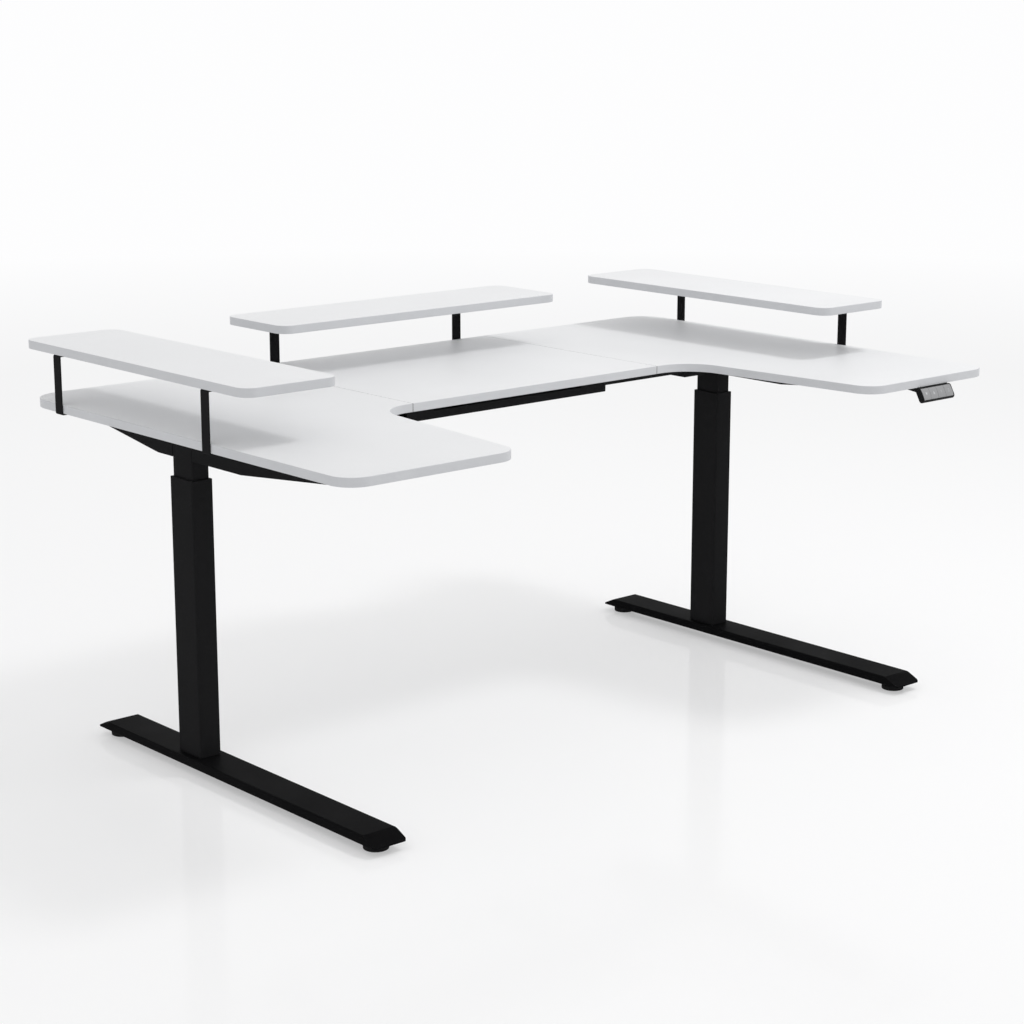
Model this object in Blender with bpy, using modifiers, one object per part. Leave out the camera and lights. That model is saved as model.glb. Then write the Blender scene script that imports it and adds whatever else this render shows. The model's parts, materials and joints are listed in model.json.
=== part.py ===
"""A U-shaped standing desk: three joined tops and three raised shelves on two motor-driven legs.

The desk stands on z = 0 with its open side towards -Y, and x = 0 is its middle. The rest pose is
the desk at 750 mm. Two closed outer columns stand on long feet. Two inner columns slide in them
and carry the whole top, which one motor and one threaded spindle in each leg raise together.
All sizes are in metres.
"""

import math

import bmesh
import bpy
from mathutils import Matrix, Vector

# Fits between pieces
SEAT = 0.0003
RUNNING = 0.0004

# Desktop boards
DESK_HEIGHT = 0.750
DESK_WIDTH = 1.800
DESK_DEPTH = 1.100
CENTRE_DEPTH = 0.600
CENTRE_WIDTH = 0.703
WING_ROOT_WIDTH = 0.4515
WING_TIP_WIDTH = 0.400
BOARD = 0.018
BOARD_ARRIS = 0.0008
BOARD_STEPS = 10
TIP_RADIUS = 0.050
BACK_RADIUS = 0.070
CURVE_RADIUS = 0.092

# Raised shelves and the flat straps that carry them
SHELF_LENGTH = 0.800
SHELF_DEPTH = 0.220
SHELF_RADIUS = 0.030
SHELF_CLEAR_HEIGHT = 0.102
STRAP_WIDTH = 0.025
STRAP_THICKNESS = 0.003
STRAP_BEND = 0.001
STRAP_SPACING = 0.535
STRAP_TOP_REACH = 0.080
STRAP_FOOT_REACH = 0.060
STRAP_SCREW_INSET = 0.014

# Lifting columns
BOARD_PAST_COLUMN = 0.1444
COLUMN_SETBACK = 0.3885
OUTER_WIDTH = 0.050
OUTER_DEPTH = 0.080
OUTER_RADIUS = 0.0035
OUTER_TOP = 0.619
INNER_WIDTH = 0.040
INNER_DEPTH = 0.070
INNER_RADIUS = 0.003
TUBE_WALL = 0.002
INNER_BOTTOM = 0.090
COLLAR_HEIGHT = 0.040
SLIDER_HEIGHT = 0.005
SLIDER_OPENING = 0.034

# Drive inside each column
SPINDLE_RADIUS = 0.007
SPINDLE_BOTTOM = 0.100
PUSH_TUBE_RADIUS = 0.014
PUSH_TUBE_WALL = 0.002
NUT_RADIUS = 0.0155
NUT_HEIGHT = 0.030
PUSH_TUBE_TOP = 0.565
GEARBOX_HEIGHT = 0.042
MOTOR_RADIUS = 0.022
MOTOR_LENGTH = 0.098
MOTOR_ROOT = 0.006
COVER_LENGTH = 0.114
COVER_DROP = 0.061
COVER_WALL = 0.0015

# Feet
FOOT_WIDTH = 0.080
FOOT_HEIGHT = 0.020
FOOT_RADIUS = 0.004
FOOT_WALL = 0.002
FOOT_REAR_SETBACK = 0.053
FOOT_FRONT_SETBACK = 0.0757
FOOT_SLOPE_RUN = 0.037
FOOT_NOSE_HEIGHT = 0.003
FOOT_NOSE_RADIUS = 0.0012
FOOT_END_BLOCK = 0.060
GLIDE_HEIGHT = 0.017
GLIDE_DISC = 0.011
GLIDE_RADIUS = 0.025
GLIDE_EDGE = 0.002
GLIDE_NECK_RADIUS = 0.008
GLIDE_STEM_RADIUS = 0.004
GLIDE_STEM_LENGTH = 0.014
GLIDE_REAR_INSET = 0.035
GLIDE_FRONT_INSET = 0.045
FOOT_PLATE = 0.008
BOLT_RADIUS = 0.004
BOLT_OFFSET_X = 0.012
BOLT_OFFSET_Y = 0.026
ACCESS_RADIUS = 0.009

# Frame under the tops
BRACKET_SHEET = 0.003
BRACKET_FLANGE = 0.076
BRACKET_REAR_GAP = 0.060
BRACKET_FRONT_GAP = 0.148
BRACKET_DROP = 0.073
BRACKET_END_DROP = 0.038
BRACKET_CORNER = 0.050
BRACKET_FLAT_BEHIND = 0.0885
BRACKET_FLAT_AHEAD = 0.2055
BRACKET_SCREWS = 5
BRACKET_SCREW_INSET = 0.063
BRACKET_SCREW_MARGIN = 0.030
RAIL_HEIGHT = 0.050
RAIL_FLANGE = 0.020
RAIL_SHEET = 0.002
RAIL_PAIR_DEPTH = 0.070
TONGUE_SHEET = 0.003
TONGUE_HEIGHT = 0.042
TONGUE_INTO_RAIL = 0.080
TONGUE_PLATE_DROP = 0.058
RAIL_BOLT_RADIUS = 0.0033
RAIL_BOLT_INSET = 0.020
RAIL_BOLT_PITCH = 0.040
SEAM_PLATE_WIDTH = 0.070
SEAM_PLATE_SHEET = 0.003
SEAM_PLATE_MARGIN = 0.030
SEAM_PLATE_GAP = 0.015
SEAM_SCREW_INSET = 0.014

# Cable tray and control box
TRAY_LENGTH = 0.576
TRAY_FRONT_SETBACK = 0.500
TRAY_DEPTH = 0.066
TRAY_DROP = 0.046
TRAY_SHEET = 0.0015
TRAY_LIP = 0.018
TRAY_EAR = 0.074
TRAY_FLANGE = 0.014
TRAY_SLOT_PITCH = 0.080
TRAY_SLOT_LENGTH = 0.050
TRAY_SLOT_WIDTH = 0.010
TRAY_SLOT_RADIUS = 0.0045
TRAY_SCREW_INSET = 0.012
TRAY_SLOTS = 6
CONTROL_LENGTH = 0.230
CONTROL_DEPTH = 0.052
CONTROL_HEIGHT = 0.030
CONTROL_EDGE = 0.003

# Handset under the right wing
HANDSET_LENGTH = 0.105
HANDSET_SIDE_GAP = 0.145
HANDSET_AHEAD = 0.008
HANDSET_BELOW = 0.0165
HANDSET_HALF = 0.017
HANDSET_HALF_THICKNESS = 0.007
HANDSET_EDGE_RADIUS = 0.0068
HANDSET_TILT = math.radians(29.0)
HANDSET_BASE_BACK = 0.054
HANDSET_BASE_THIN = 0.0045
HANDSET_BASE_THICK = 0.0112
BUTTON_COUNT = 4
BUTTON_HALF = 0.0135
BUTTON_BACK = 0.0020
BUTTON_EDGE = 0.0052
BUTTON_CROWN = 0.0076
CROWN_STEPS = 8
BUTTON_TRAVEL = 0.001
BUTTON_GAP = 0.0004
HANDSET_END_WALL = 0.002
HANDSET_SCREW_INSET = 0.010
HANDSET_SCREW_MARGIN = 0.021
HANDSET_SCREW_SEAT = 0.0025

# Screw holes in the sheet-metal pieces
SCREW_HOLE_RADIUS = 0.0025
SCREW_HOLE_REACH = 0.006

# Bends of folded sheet, as shares of the sheet's thickness
INNER_BEND = 0.5
OUTER_BEND = INNER_BEND + 1

# How finely round shapes are drawn
SCREW_SIDES = 8
BORE_SIDES = 12
TUBE_SIDES = 16
ROUND_SIDES = 24
DRAWN_JOIN = 0.000001
TURNED_JOIN = 0.00001

# Places that follow from the sizes above
SHELF_OVERHANG = STRAP_THICKNESS + SEAT
HANDSET_REACH = (
    HANDSET_AHEAD
    + (HANDSET_HALF - HANDSET_HALF_THICKNESS) * math.sin(HANDSET_TILT)
    + HANDSET_HALF_THICKNESS
)
BACK = (DESK_DEPTH + HANDSET_REACH - SHELF_OVERHANG) / 2
FRONT = BACK - DESK_DEPTH
UNDER = DESK_HEIGHT - BOARD
SEATED_UNDER = UNDER - SEAT
LEG_X = DESK_WIDTH / 2 - BOARD_PAST_COLUMN
LEG_Y = BACK - COLUMN_SETBACK
FOOT_BOTTOM = GLIDE_HEIGHT
FOOT_TOP = FOOT_BOTTOM + FOOT_HEIGHT
FLANGE_BOTTOM = SEATED_UNDER - BRACKET_SHEET
INNER_TOP = FLANGE_BOTTOM - SEAT
HANDSET_LOW = DESK_WIDTH / 2 - HANDSET_SIDE_GAP - HANDSET_LENGTH
MOTOR_Z = INNER_TOP - SEAT - MOTOR_RADIUS
SPINDLE_TOP = INNER_TOP - GEARBOX_HEIGHT / 2 - SEAT
SHELF_BOTTOM = DESK_HEIGHT + SHELF_CLEAR_HEIGHT
SIDES = {"left": -1, "right": 1}
ENDS = {"front": -1, "rear": 1}

# Edges that turn more than these are shaded sharp, or broken by an arris
SHARP_ANGLE = math.radians(35)
ARRIS_ANGLE = math.radians(50)

# Colour, roughness and metallic value of each finish
LOOKS = {
    "white_board": ((0.80, 0.81, 0.82), 0.45, 0.0),
    "black_steel": ((0.012, 0.012, 0.013), 0.42, 0.2),
    "black_plastic": ((0.015, 0.015, 0.016), 0.50, 0.0),
    "grey_plastic": ((0.10, 0.10, 0.105), 0.35, 0.0),
    "zinc_steel": ((0.45, 0.45, 0.44), 0.35, 0.9),
    "bright_steel": ((0.55, 0.55, 0.55), 0.25, 1.0),
    "brass": ((0.60, 0.42, 0.16), 0.30, 1.0),
    "nylon": ((0.70, 0.70, 0.66), 0.45, 0.0),
}

for leftover in list(bpy.data.objects):
    bpy.data.objects.remove(leftover, do_unlink=True)

desk = bpy.data.collections.new("u_shaped_standing_desk")
cutters = bpy.data.collections.new("cutters")
bpy.context.scene.collection.children.link(desk)
bpy.context.scene.collection.children.link(cutters)


# Shared tools


def material(name, look):
    """A Principled material with the finish's colour, roughness and metallic value."""
    colour, roughness, metallic = LOOKS[look]
    made = bpy.data.materials.new(name)
    made.use_nodes = True
    shader = made.node_tree.nodes["Principled BSDF"]
    shader.inputs["Base Color"].default_value = (*colour, 1.0)
    shader.inputs["Roughness"].default_value = roughness
    shader.inputs["Metallic"].default_value = metallic
    made.diffuse_color = (*colour, 1.0)
    return made


def place(name, mesh, look, at=(0, 0, 0), turn=None):
    """Put a mesh in the desk's collection as a named object with its own material.

    With no look it is a cutter: drawn as wire, not rendered.
    """
    made = bpy.data.objects.new(name, mesh)
    made.matrix_world = Matrix.Translation(at) @ (turn or Matrix())
    mesh.materials.clear()
    if look:
        mesh.materials.append(material(name, look))
        mesh.shade_smooth()
        mesh.set_sharp_from_angle(angle=SHARP_ANGLE)
        desk.objects.link(made)
    else:
        cutters.objects.link(made)
        made.hide_render = True
        made.display_type = "WIRE"
    return made


def rounded(corners, steps=6):
    """Outline through corners given as (x, y) or (x, y, radius); a radius rounds its corner."""
    points = []
    for number, corner in enumerate(corners):
        here = Vector(corner[:2])
        radius = corner[2] if len(corner) > 2 else 0
        if not radius:
            points.append(here)
            continue
        before = (Vector(corners[number - 1][:2]) - here).normalized()
        after = (Vector(corners[(number + 1) % len(corners)][:2]) - here).normalized()
        half = math.acos(max(-1.0, min(1.0, before.dot(after)))) / 2
        centre = here + (before + after).normalized() * radius / math.sin(half)
        start = here + before * radius / math.tan(half) - centre
        end = here + after * radius / math.tan(half) - centre
        sweep = math.atan2(start.x * end.y - start.y * end.x, start.dot(end))
        for step in range(steps + 1):
            points.append(centre + Matrix.Rotation(sweep * step / steps, 2) @ start)
    return points


def rectangle(width, height, radius=0, x=0, y=0):
    """Corners of a rectangle about (x, y), each rounded by the radius."""
    right, top = width / 2, height / 2
    signs = ((-1, -1), (1, -1), (1, 1), (-1, 1))
    return [(x + i * right, y + j * top, radius) for i, j in signs]


PLANES = {
    "XY": Matrix(),
    "YZ": Matrix(((0, 0, 1, 0), (1, 0, 0, 0), (0, 1, 0, 0), (0, 0, 0, 1))),
    "XZ": Matrix(((1, 0, 0, 0), (0, 0, -1, 0), (0, 1, 0, 0), (0, 0, 0, 1))),
}


def baked(drawn):
    """The finished mesh of a drawn curve or turned profile; the drawing is removed."""
    graph = bpy.context.evaluated_depsgraph_get()
    mesh = bpy.data.meshes.new_from_object(drawn.evaluated_get(graph))
    bpy.data.objects.remove(drawn, do_unlink=True)
    return mesh


def prism(name, outlines, low, high, look, plane="XY", at=(0, 0, 0)):
    """Extrude flat outlines, the first outside and the rest holes, between two levels.

    The levels lie along Z in plane XY and along X in plane YZ. In plane XZ they lie along -Y.
    """
    curve = bpy.data.curves.new(name, "CURVE")
    curve.dimensions = "2D"
    curve.fill_mode = "BOTH"
    curve.extrude = (high - low) / 2
    for outline in outlines:
        spline = curve.splines.new("POLY")
        spline.points.add(len(outline) - 1)
        for point, spot in zip(spline.points, outline):
            point.co = (spot[0], spot[1], 0, 1)
        spline.use_cyclic_u = True
    drawn = bpy.data.objects.new(name + "_outline", curve)
    cutters.objects.link(drawn)
    mesh = baked(drawn)
    shape = bmesh.new()
    shape.from_mesh(mesh)
    bmesh.ops.remove_doubles(shape, verts=shape.verts, dist=DRAWN_JOIN)
    bmesh.ops.recalc_face_normals(shape, faces=shape.faces)
    shape.to_mesh(mesh)
    shape.free()
    mesh.name = name
    turn = PLANES[plane]
    middle = turn @ Vector((0, 0, (low + high) / 2))
    return place(name, mesh, look, Vector(at) + middle, turn)


def block(name, low, high, look):
    """A plain box between two opposite corners, with its origin at its middle."""
    low, high = Vector(low), Vector(high)
    mesh = bpy.data.meshes.new(name)
    shape = bmesh.new()
    bmesh.ops.create_cube(shape, size=1.0, matrix=Matrix.Diagonal((*(high - low), 1)))
    shape.to_mesh(mesh)
    shape.free()
    return place(name, mesh, look, (low + high) / 2)


def turned(name, profile, look, at=(0, 0, 0), sides=ROUND_SIDES, turn=None):
    """Turn a profile of (radius, height) points, top to bottom outside, about the Z axis."""
    line = bpy.data.meshes.new(name + "_profile")
    spots = [(radius, 0, height) for radius, height in profile]
    edges = [(number, number + 1) for number in range(len(spots) - 1)]
    if profile[0][0] > 0:
        edges.append((len(spots) - 1, 0))
    line.from_pydata(spots, edges, [])
    drawn = bpy.data.objects.new(name + "_profile", line)
    cutters.objects.link(drawn)
    screw = drawn.modifiers.new("Turn", "SCREW")
    screw.angle = math.tau
    screw.steps = sides
    screw.render_steps = sides
    screw.use_merge_vertices = True
    screw.merge_threshold = TURNED_JOIN
    return place(name, baked(drawn), look, at, turn)


def rod(name, radius, low, high, look, at=(0, 0, 0), sides=ROUND_SIDES, turn=None):
    """A plain turned cylinder between two heights above its place."""
    profile = [(0, high), (radius, high), (radius, low), (0, low)]
    return turned(name, profile, look, at, sides, turn)


def repeated(name, source, places, look):
    """One object with a copy of a piece's mesh, turned as it is, at each place; it is removed."""
    turn = source.matrix_basis.to_3x3().to_4x4()
    shape = bmesh.new()
    for spot in places:
        before = len(shape.verts)
        shape.from_mesh(source.data)
        shape.verts.ensure_lookup_table()
        step = Matrix.Translation(spot) @ turn
        bmesh.ops.transform(shape, matrix=step, verts=shape.verts[before:])
    mesh = bpy.data.meshes.new(name)
    shape.to_mesh(mesh)
    shape.free()
    bpy.data.objects.remove(source, do_unlink=True)
    return place(name, mesh, look)


def combine(target, other, operation):
    """Boolean with another object, which stays as a guide."""
    step = target.modifiers.new(operation.title(), "BOOLEAN")
    step.operation = operation
    step.solver = "EXACT"
    step.object = other


def screw_holes(name, places):
    """A cutter for screw holes; a place is (x, y, the underside of the sheet to go through)."""
    source = rod(
        "screw_hole", SCREW_HOLE_RADIUS, -SCREW_HOLE_REACH, SCREW_HOLE_REACH, None, sides=SCREW_SIDES
    )
    return repeated(name, source, places, None)


def arris(target, width, segments=1):
    """Break the sharp edges of a piece."""
    step = target.modifiers.new("Arris", "BEVEL")
    step.width = width
    step.segments = segments
    step.limit_method = "ANGLE"
    step.angle_limit = ARRIS_ANGLE


def carrier(name, at):
    """An empty on a joint's axis that carries the pieces which move together."""
    made = bpy.data.objects.new(name, None)
    made.location = at
    desk.objects.link(made)
    return made


def carry(holder, *pieces):
    """Parent pieces to a carrier and leave them where they stand."""
    for piece in pieces:
        piece.parent = holder
        piece.matrix_parent_inverse = Matrix.Translation(-holder.location)


base_carrier = carrier("standing_base", (0, LEG_Y, 0))
top_carrier = carrier("lifting_top", (0, LEG_Y, DESK_HEIGHT))


# Desktop boards


def wing_board(side):
    """The wing with its share of the U's inner curve; its seam to the centre board is straight."""
    sign = SIDES[side]
    seam = CENTRE_WIDTH / 2 + SEAT / 2
    root = DESK_WIDTH / 2 - WING_ROOT_WIDTH
    tip = DESK_WIDTH / 2 - WING_TIP_WIDTH
    corners = [
        (seam, BACK),
        (seam, BACK - CENTRE_DEPTH),
        (root, BACK - CENTRE_DEPTH, CURVE_RADIUS),
        (tip, FRONT, TIP_RADIUS),
        (DESK_WIDTH / 2, FRONT, TIP_RADIUS),
        (DESK_WIDTH / 2, BACK, BACK_RADIUS),
    ]
    outline = rounded([(sign * corner[0], *corner[1:]) for corner in corners], BOARD_STEPS)
    return prism(side + "_wing_board", [outline], UNDER, DESK_HEIGHT, "white_board")


boards = {
    "left": wing_board("left"),
    "right": wing_board("right"),
    "centre": block(
        "centre_board",
        (-CENTRE_WIDTH / 2 + SEAT / 2, BACK - CENTRE_DEPTH, UNDER),
        (CENTRE_WIDTH / 2 - SEAT / 2, BACK, DESK_HEIGHT),
        "white_board",
    ),
}
for board in boards.values():
    arris(board, BOARD_ARRIS)


# Raised shelves on bent straps


def shelf_frame(where):
    """Middle of a shelf's outer edge, the inward direction and the direction along the shelf."""
    if where == "rear":
        return Vector((0, BACK)), Vector((0, -1)), Vector((1, 0))
    edge = SIDES[where] * DESK_WIDTH / 2
    return Vector((edge, BACK - SHELF_LENGTH / 2)), Vector((-SIDES[where], 0)), Vector((0, 1))


def shelf_board(where):
    """A plain board with four rounded corners; its outer edge covers the straps."""
    edge, inward, along = shelf_frame(where)
    middle = edge + inward * (SHELF_DEPTH / 2 - SHELF_OVERHANG)
    size = SHELF_DEPTH * Vector((abs(inward.x), abs(inward.y)))
    size += SHELF_LENGTH * Vector((abs(along.x), abs(along.y)))
    outline = rounded(rectangle(size.x, size.y, SHELF_RADIUS, middle.x, middle.y), BOARD_STEPS)
    made = prism(where + "_shelf", [outline], SHELF_BOTTOM, SHELF_BOTTOM + BOARD, "white_board")
    arris(made, BOARD_ARRIS)
    return made


def strap(name, where, offset):
    """A flat bar bent twice to a C: its ends lie under the shelf and under the desktop."""
    edge, inward, along = shelf_frame(where)
    at = edge + along * offset
    outer = -SHELF_OVERHANG
    inner = outer + STRAP_THICKNESS
    low = SEATED_UNDER - STRAP_THICKNESS
    high = SHELF_BOTTOM - SEAT
    bend = STRAP_BEND + STRAP_THICKNESS
    section = [
        (STRAP_TOP_REACH, high),
        (outer, high, bend),
        (outer, low, bend),
        (STRAP_FOOT_REACH, low),
        (STRAP_FOOT_REACH, low + STRAP_THICKNESS),
        (inner, low + STRAP_THICKNESS, STRAP_BEND),
        (inner, high - STRAP_THICKNESS, STRAP_BEND),
        (STRAP_TOP_REACH, high - STRAP_THICKNESS),
    ]
    half = STRAP_WIDTH / 2
    if where == "rear":
        outline = rounded([(BACK - corner[0], *corner[1:]) for corner in section], 4)
        return prism(name, [outline], at.x - half, at.x + half, "black_steel", "YZ")
    sign = -SIDES[where]
    outline = rounded([(at.x + sign * corner[0], *corner[1:]) for corner in section], 4)
    return prism(name, [outline], -at.y - half, -at.y + half, "black_steel", "XZ")


shelves = []
straps = []
STRAP_ENDS = {"left": ("front", "rear"), "rear": ("left", "right"), "right": ("front", "rear")}
for where, ends in STRAP_ENDS.items():
    shelves.append(shelf_board(where))
    edge, inward, along = shelf_frame(where)
    for end, sign in zip(ends, (-1, 1)):
        offset = sign * STRAP_SPACING / 2
        made = strap(f"{where}_shelf_{end}_strap", where, offset)
        places = []
        for reach, under in (
            (STRAP_TOP_REACH, SHELF_BOTTOM - SEAT - STRAP_THICKNESS),
            (STRAP_FOOT_REACH, SEATED_UNDER - STRAP_THICKNESS),
        ):
            for inset in (STRAP_SCREW_INSET, reach - STRAP_SCREW_INSET):
                places.append((*(edge + along * offset + inward * inset), under))
        combine(made, screw_holes(made.name + "_holes", places), "DIFFERENCE")
        straps.append(made)


# Feet


def foot(side):
    """A long steel foot with rounded edges, sloped ends, a hollow middle and solid end blocks."""
    x = SIDES[side] * LEG_X
    rear, front = BACK - FOOT_REAR_SETBACK, FRONT + FOOT_FRONT_SETBACK
    middle = FOOT_BOTTOM + FOOT_HEIGHT / 2
    nose = FOOT_BOTTOM + FOOT_NOSE_HEIGHT
    side_view = rounded(
        [
            (rear - FOOT_SLOPE_RUN, FOOT_TOP, FOOT_NOSE_RADIUS),
            (front + FOOT_SLOPE_RUN, FOOT_TOP, FOOT_NOSE_RADIUS),
            (front, nose, FOOT_NOSE_RADIUS),
            (front, FOOT_BOTTOM, FOOT_NOSE_RADIUS),
            (rear, FOOT_BOTTOM, FOOT_NOSE_RADIUS),
            (rear, nose, FOOT_NOSE_RADIUS),
        ],
        3,
    )
    made = prism(
        side + "_foot", [side_view], x - FOOT_WIDTH / 2, x + FOOT_WIDTH / 2, "black_steel", "YZ"
    )
    section = rounded(rectangle(FOOT_WIDTH, FOOT_HEIGHT, FOOT_RADIUS, x, middle), 4)
    rounder = prism(side + "_foot_section", [section], -rear, -front, None, "XZ")
    combine(made, rounder, "INTERSECT")
    hollow = block(
        side + "_foot_hollow",
        (x - FOOT_WIDTH / 2 + FOOT_WALL, front + FOOT_END_BLOCK, FOOT_BOTTOM + FOOT_WALL),
        (x + FOOT_WIDTH / 2 - FOOT_WALL, rear - FOOT_END_BLOCK, FOOT_TOP - FOOT_WALL),
        None,
    )
    combine(made, hollow, "DIFFERENCE")
    holes = {
        "bolt": (BOLT_RADIUS + SEAT, FOOT_TOP - 2 * FOOT_WALL, FOOT_TOP + FOOT_WALL, SCREW_SIDES),
        "access": (ACCESS_RADIUS, FOOT_BOTTOM - FOOT_WALL, FOOT_BOTTOM + 2 * FOOT_WALL, BORE_SIDES),
        "stem": (
            GLIDE_STEM_RADIUS + RUNNING, FOOT_BOTTOM - FOOT_WALL,
            FOOT_BOTTOM + GLIDE_STEM_LENGTH + SEAT, SCREW_SIDES,
        ),
    }
    for kind, (radius, low, high, sides) in holes.items():
        source = rod(kind + "_hole", radius, low, high, None, sides=sides)
        spots = glide_places(side) if kind == "stem" else bolt_places(side)
        combine(made, repeated(f"{side}_{kind}_holes", source, spots, None), "DIFFERENCE")
    return made


def bolt_places(side):
    """Plan positions of the four bolts that hold a column down."""
    x = SIDES[side] * LEG_X
    return [
        (x + i * BOLT_OFFSET_X, LEG_Y + j * BOLT_OFFSET_Y, 0)
        for i in (-1, 1) for j in (-1, 1)
    ]


def glide_places(side):
    """Plan positions of a foot's front and rear levelling glides."""
    x = SIDES[side] * LEG_X
    return (
        Vector((x, FRONT + FOOT_FRONT_SETBACK + GLIDE_FRONT_INSET, 0)),
        Vector((x, BACK - FOOT_REAR_SETBACK - GLIDE_REAR_INSET, 0)),
    )


def glide(name, spot):
    """A round levelling glide; its stem screws into the foot and lets it wind down.

    A neck on the disc bears on the foot's underside.
    """
    neck = FOOT_BOTTOM - SEAT
    profile = [
        (0, FOOT_BOTTOM + GLIDE_STEM_LENGTH),
        (GLIDE_STEM_RADIUS, FOOT_BOTTOM + GLIDE_STEM_LENGTH),
        (GLIDE_STEM_RADIUS, neck),
        (GLIDE_NECK_RADIUS, neck),
        (GLIDE_NECK_RADIUS, GLIDE_DISC),
        (GLIDE_RADIUS - GLIDE_EDGE, GLIDE_DISC),
        (GLIDE_RADIUS, GLIDE_DISC - GLIDE_EDGE),
        (GLIDE_RADIUS, GLIDE_EDGE),
        (GLIDE_RADIUS - GLIDE_EDGE, 0),
        (0, 0),
    ]
    return turned(name, profile, "black_plastic", spot)


# Columns


def tube(name, side, width, depth, radius, low, high):
    """An upright rectangular tube on a leg's axis."""
    x = SIDES[side] * LEG_X
    outside = rounded(rectangle(width, depth, radius, x, LEG_Y), 3)
    inside = rounded(
        rectangle(width - 2 * TUBE_WALL, depth - 2 * TUBE_WALL, radius - TUBE_WALL, x, LEG_Y), 2
    )
    return prism(name, [outside, inside], low, high, "black_steel")


def inside_of(side, width, depth, radius):
    """Outline that fits inside a leg's tube of this outer size, with the seating gap."""
    gap = TUBE_WALL + SEAT
    x = SIDES[side] * LEG_X
    return rounded(rectangle(width - 2 * gap, depth - 2 * gap, radius - TUBE_WALL, x, LEG_Y), 2)


def sleeve(name, side, low, high):
    """A nylon frame seated in the outer column; the inner column runs in it."""
    room = rectangle(
        INNER_WIDTH + 2 * RUNNING, INNER_DEPTH + 2 * RUNNING, INNER_RADIUS, SIDES[side] * LEG_X, LEG_Y
    )
    outside = inside_of(side, OUTER_WIDTH, OUTER_DEPTH, OUTER_RADIUS)
    return prism(name, [outside, rounded(room, 2)], low, high, "black_plastic")


def standing_leg(side):
    """The pieces of a leg that stand: foot, foot plate, outer column, collar, push tube and nut."""
    x = SIDES[side] * LEG_X
    axis = (x, LEG_Y, 0)
    plate_low = FOOT_TOP + SEAT
    plate_top = plate_low + FOOT_PLATE
    plate = prism(
        side + "_foot_plate", [inside_of(side, OUTER_WIDTH, OUTER_DEPTH, OUTER_RADIUS)],
        plate_low, plate_top, "zinc_steel",
    )
    hole = rod("plate_hole", BOLT_RADIUS + SEAT, FOOT_TOP, plate_top + FOOT_WALL, None, sides=SCREW_SIDES)
    combine(plate, repeated(side + "_plate_holes", hole, bolt_places(side), None), "DIFFERENCE")
    outer = tube(
        side + "_outer_column", side, OUTER_WIDTH, OUTER_DEPTH, OUTER_RADIUS, plate_low, OUTER_TOP
    )
    collar = sleeve(side + "_column_collar", side, OUTER_TOP - COLLAR_HEIGHT, OUTER_TOP)
    outside, inside = PUSH_TUBE_RADIUS, PUSH_TUBE_RADIUS - PUSH_TUBE_WALL
    push_low = plate_top + SEAT
    push_tube = turned(
        side + "_push_tube",
        [(inside, PUSH_TUBE_TOP), (outside, PUSH_TUBE_TOP), (outside, push_low), (inside, push_low)],
        "zinc_steel", axis, TUBE_SIDES,
    )
    bore = SPINDLE_RADIUS + RUNNING
    nut_low = PUSH_TUBE_TOP + SEAT
    nut_top = nut_low + NUT_HEIGHT
    nut = turned(
        side + "_spindle_nut",
        [(bore, nut_top), (NUT_RADIUS, nut_top), (NUT_RADIUS, nut_low), (bore, nut_low)],
        "brass", axis, TUBE_SIDES,
    )
    return [foot(side), plate, outer, collar, push_tube, nut]


def gear_motor(side):
    """A closed gear motor: its box fills the inner column's top and its can points inwards."""
    x = SIDES[side] * LEG_X
    low = INNER_TOP - GEARBOX_HEIGHT
    name = side + "_gear_motor"
    made = prism(
        name, [inside_of(side, INNER_WIDTH, INNER_DEPTH, INNER_RADIUS)], low, INNER_TOP, "black_plastic"
    )
    half = MOTOR_LENGTH / 2
    reach = INNER_WIDTH / 2 - MOTOR_ROOT + half
    can = rod(
        side + "_motor_can", MOTOR_RADIUS, -half, half, None,
        (x - SIDES[side] * reach, LEG_Y, MOTOR_Z), turn=Matrix.Rotation(math.pi / 2, 4, "Y"),
    )
    combine(made, can, "UNION")
    socket = rod(
        side + "_spindle_socket", SPINDLE_RADIUS + RUNNING, low - TUBE_WALL, SPINDLE_TOP + SEAT, None,
        (x, LEG_Y, 0), BORE_SIDES,
    )
    combine(made, socket, "DIFFERENCE")
    return made


def rising_leg(side):
    """The pieces of a leg that rise: inner column, nylon slider and gear motor."""
    x = SIDES[side] * LEG_X
    inner = tube(
        side + "_inner_column", side, INNER_WIDTH, INNER_DEPTH, INNER_RADIUS, INNER_BOTTOM, INNER_TOP
    )
    across = sorted((x, x - SIDES[side] * INNER_WIDTH))
    window = block(
        side + "_motor_window",
        (across[0], LEG_Y - MOTOR_RADIUS - SEAT, MOTOR_Z - MOTOR_RADIUS - SEAT),
        (across[1], LEG_Y + MOTOR_RADIUS + SEAT, INNER_TOP + TUBE_WALL),
        None,
    )
    combine(inner, window, "DIFFERENCE")
    slider = slider_frame(side)
    return [inner, slider, gear_motor(side)]


def slider_frame(side):
    """A nylon cap frame under the inner column; its rim runs in the outer column."""
    x = SIDES[side] * LEG_X
    gap = TUBE_WALL + RUNNING
    outside = rounded(
        rectangle(OUTER_WIDTH - 2 * gap, OUTER_DEPTH - 2 * gap, OUTER_RADIUS - TUBE_WALL, x, LEG_Y), 2
    )
    inside = rounded(
        rectangle(SLIDER_OPENING, SLIDER_OPENING, INNER_RADIUS, x, LEG_Y), 2
    )
    high = INNER_BOTTOM - SEAT
    return prism(side + "_column_slider", [outside, inside], high - SLIDER_HEIGHT, high, "nylon")


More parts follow.
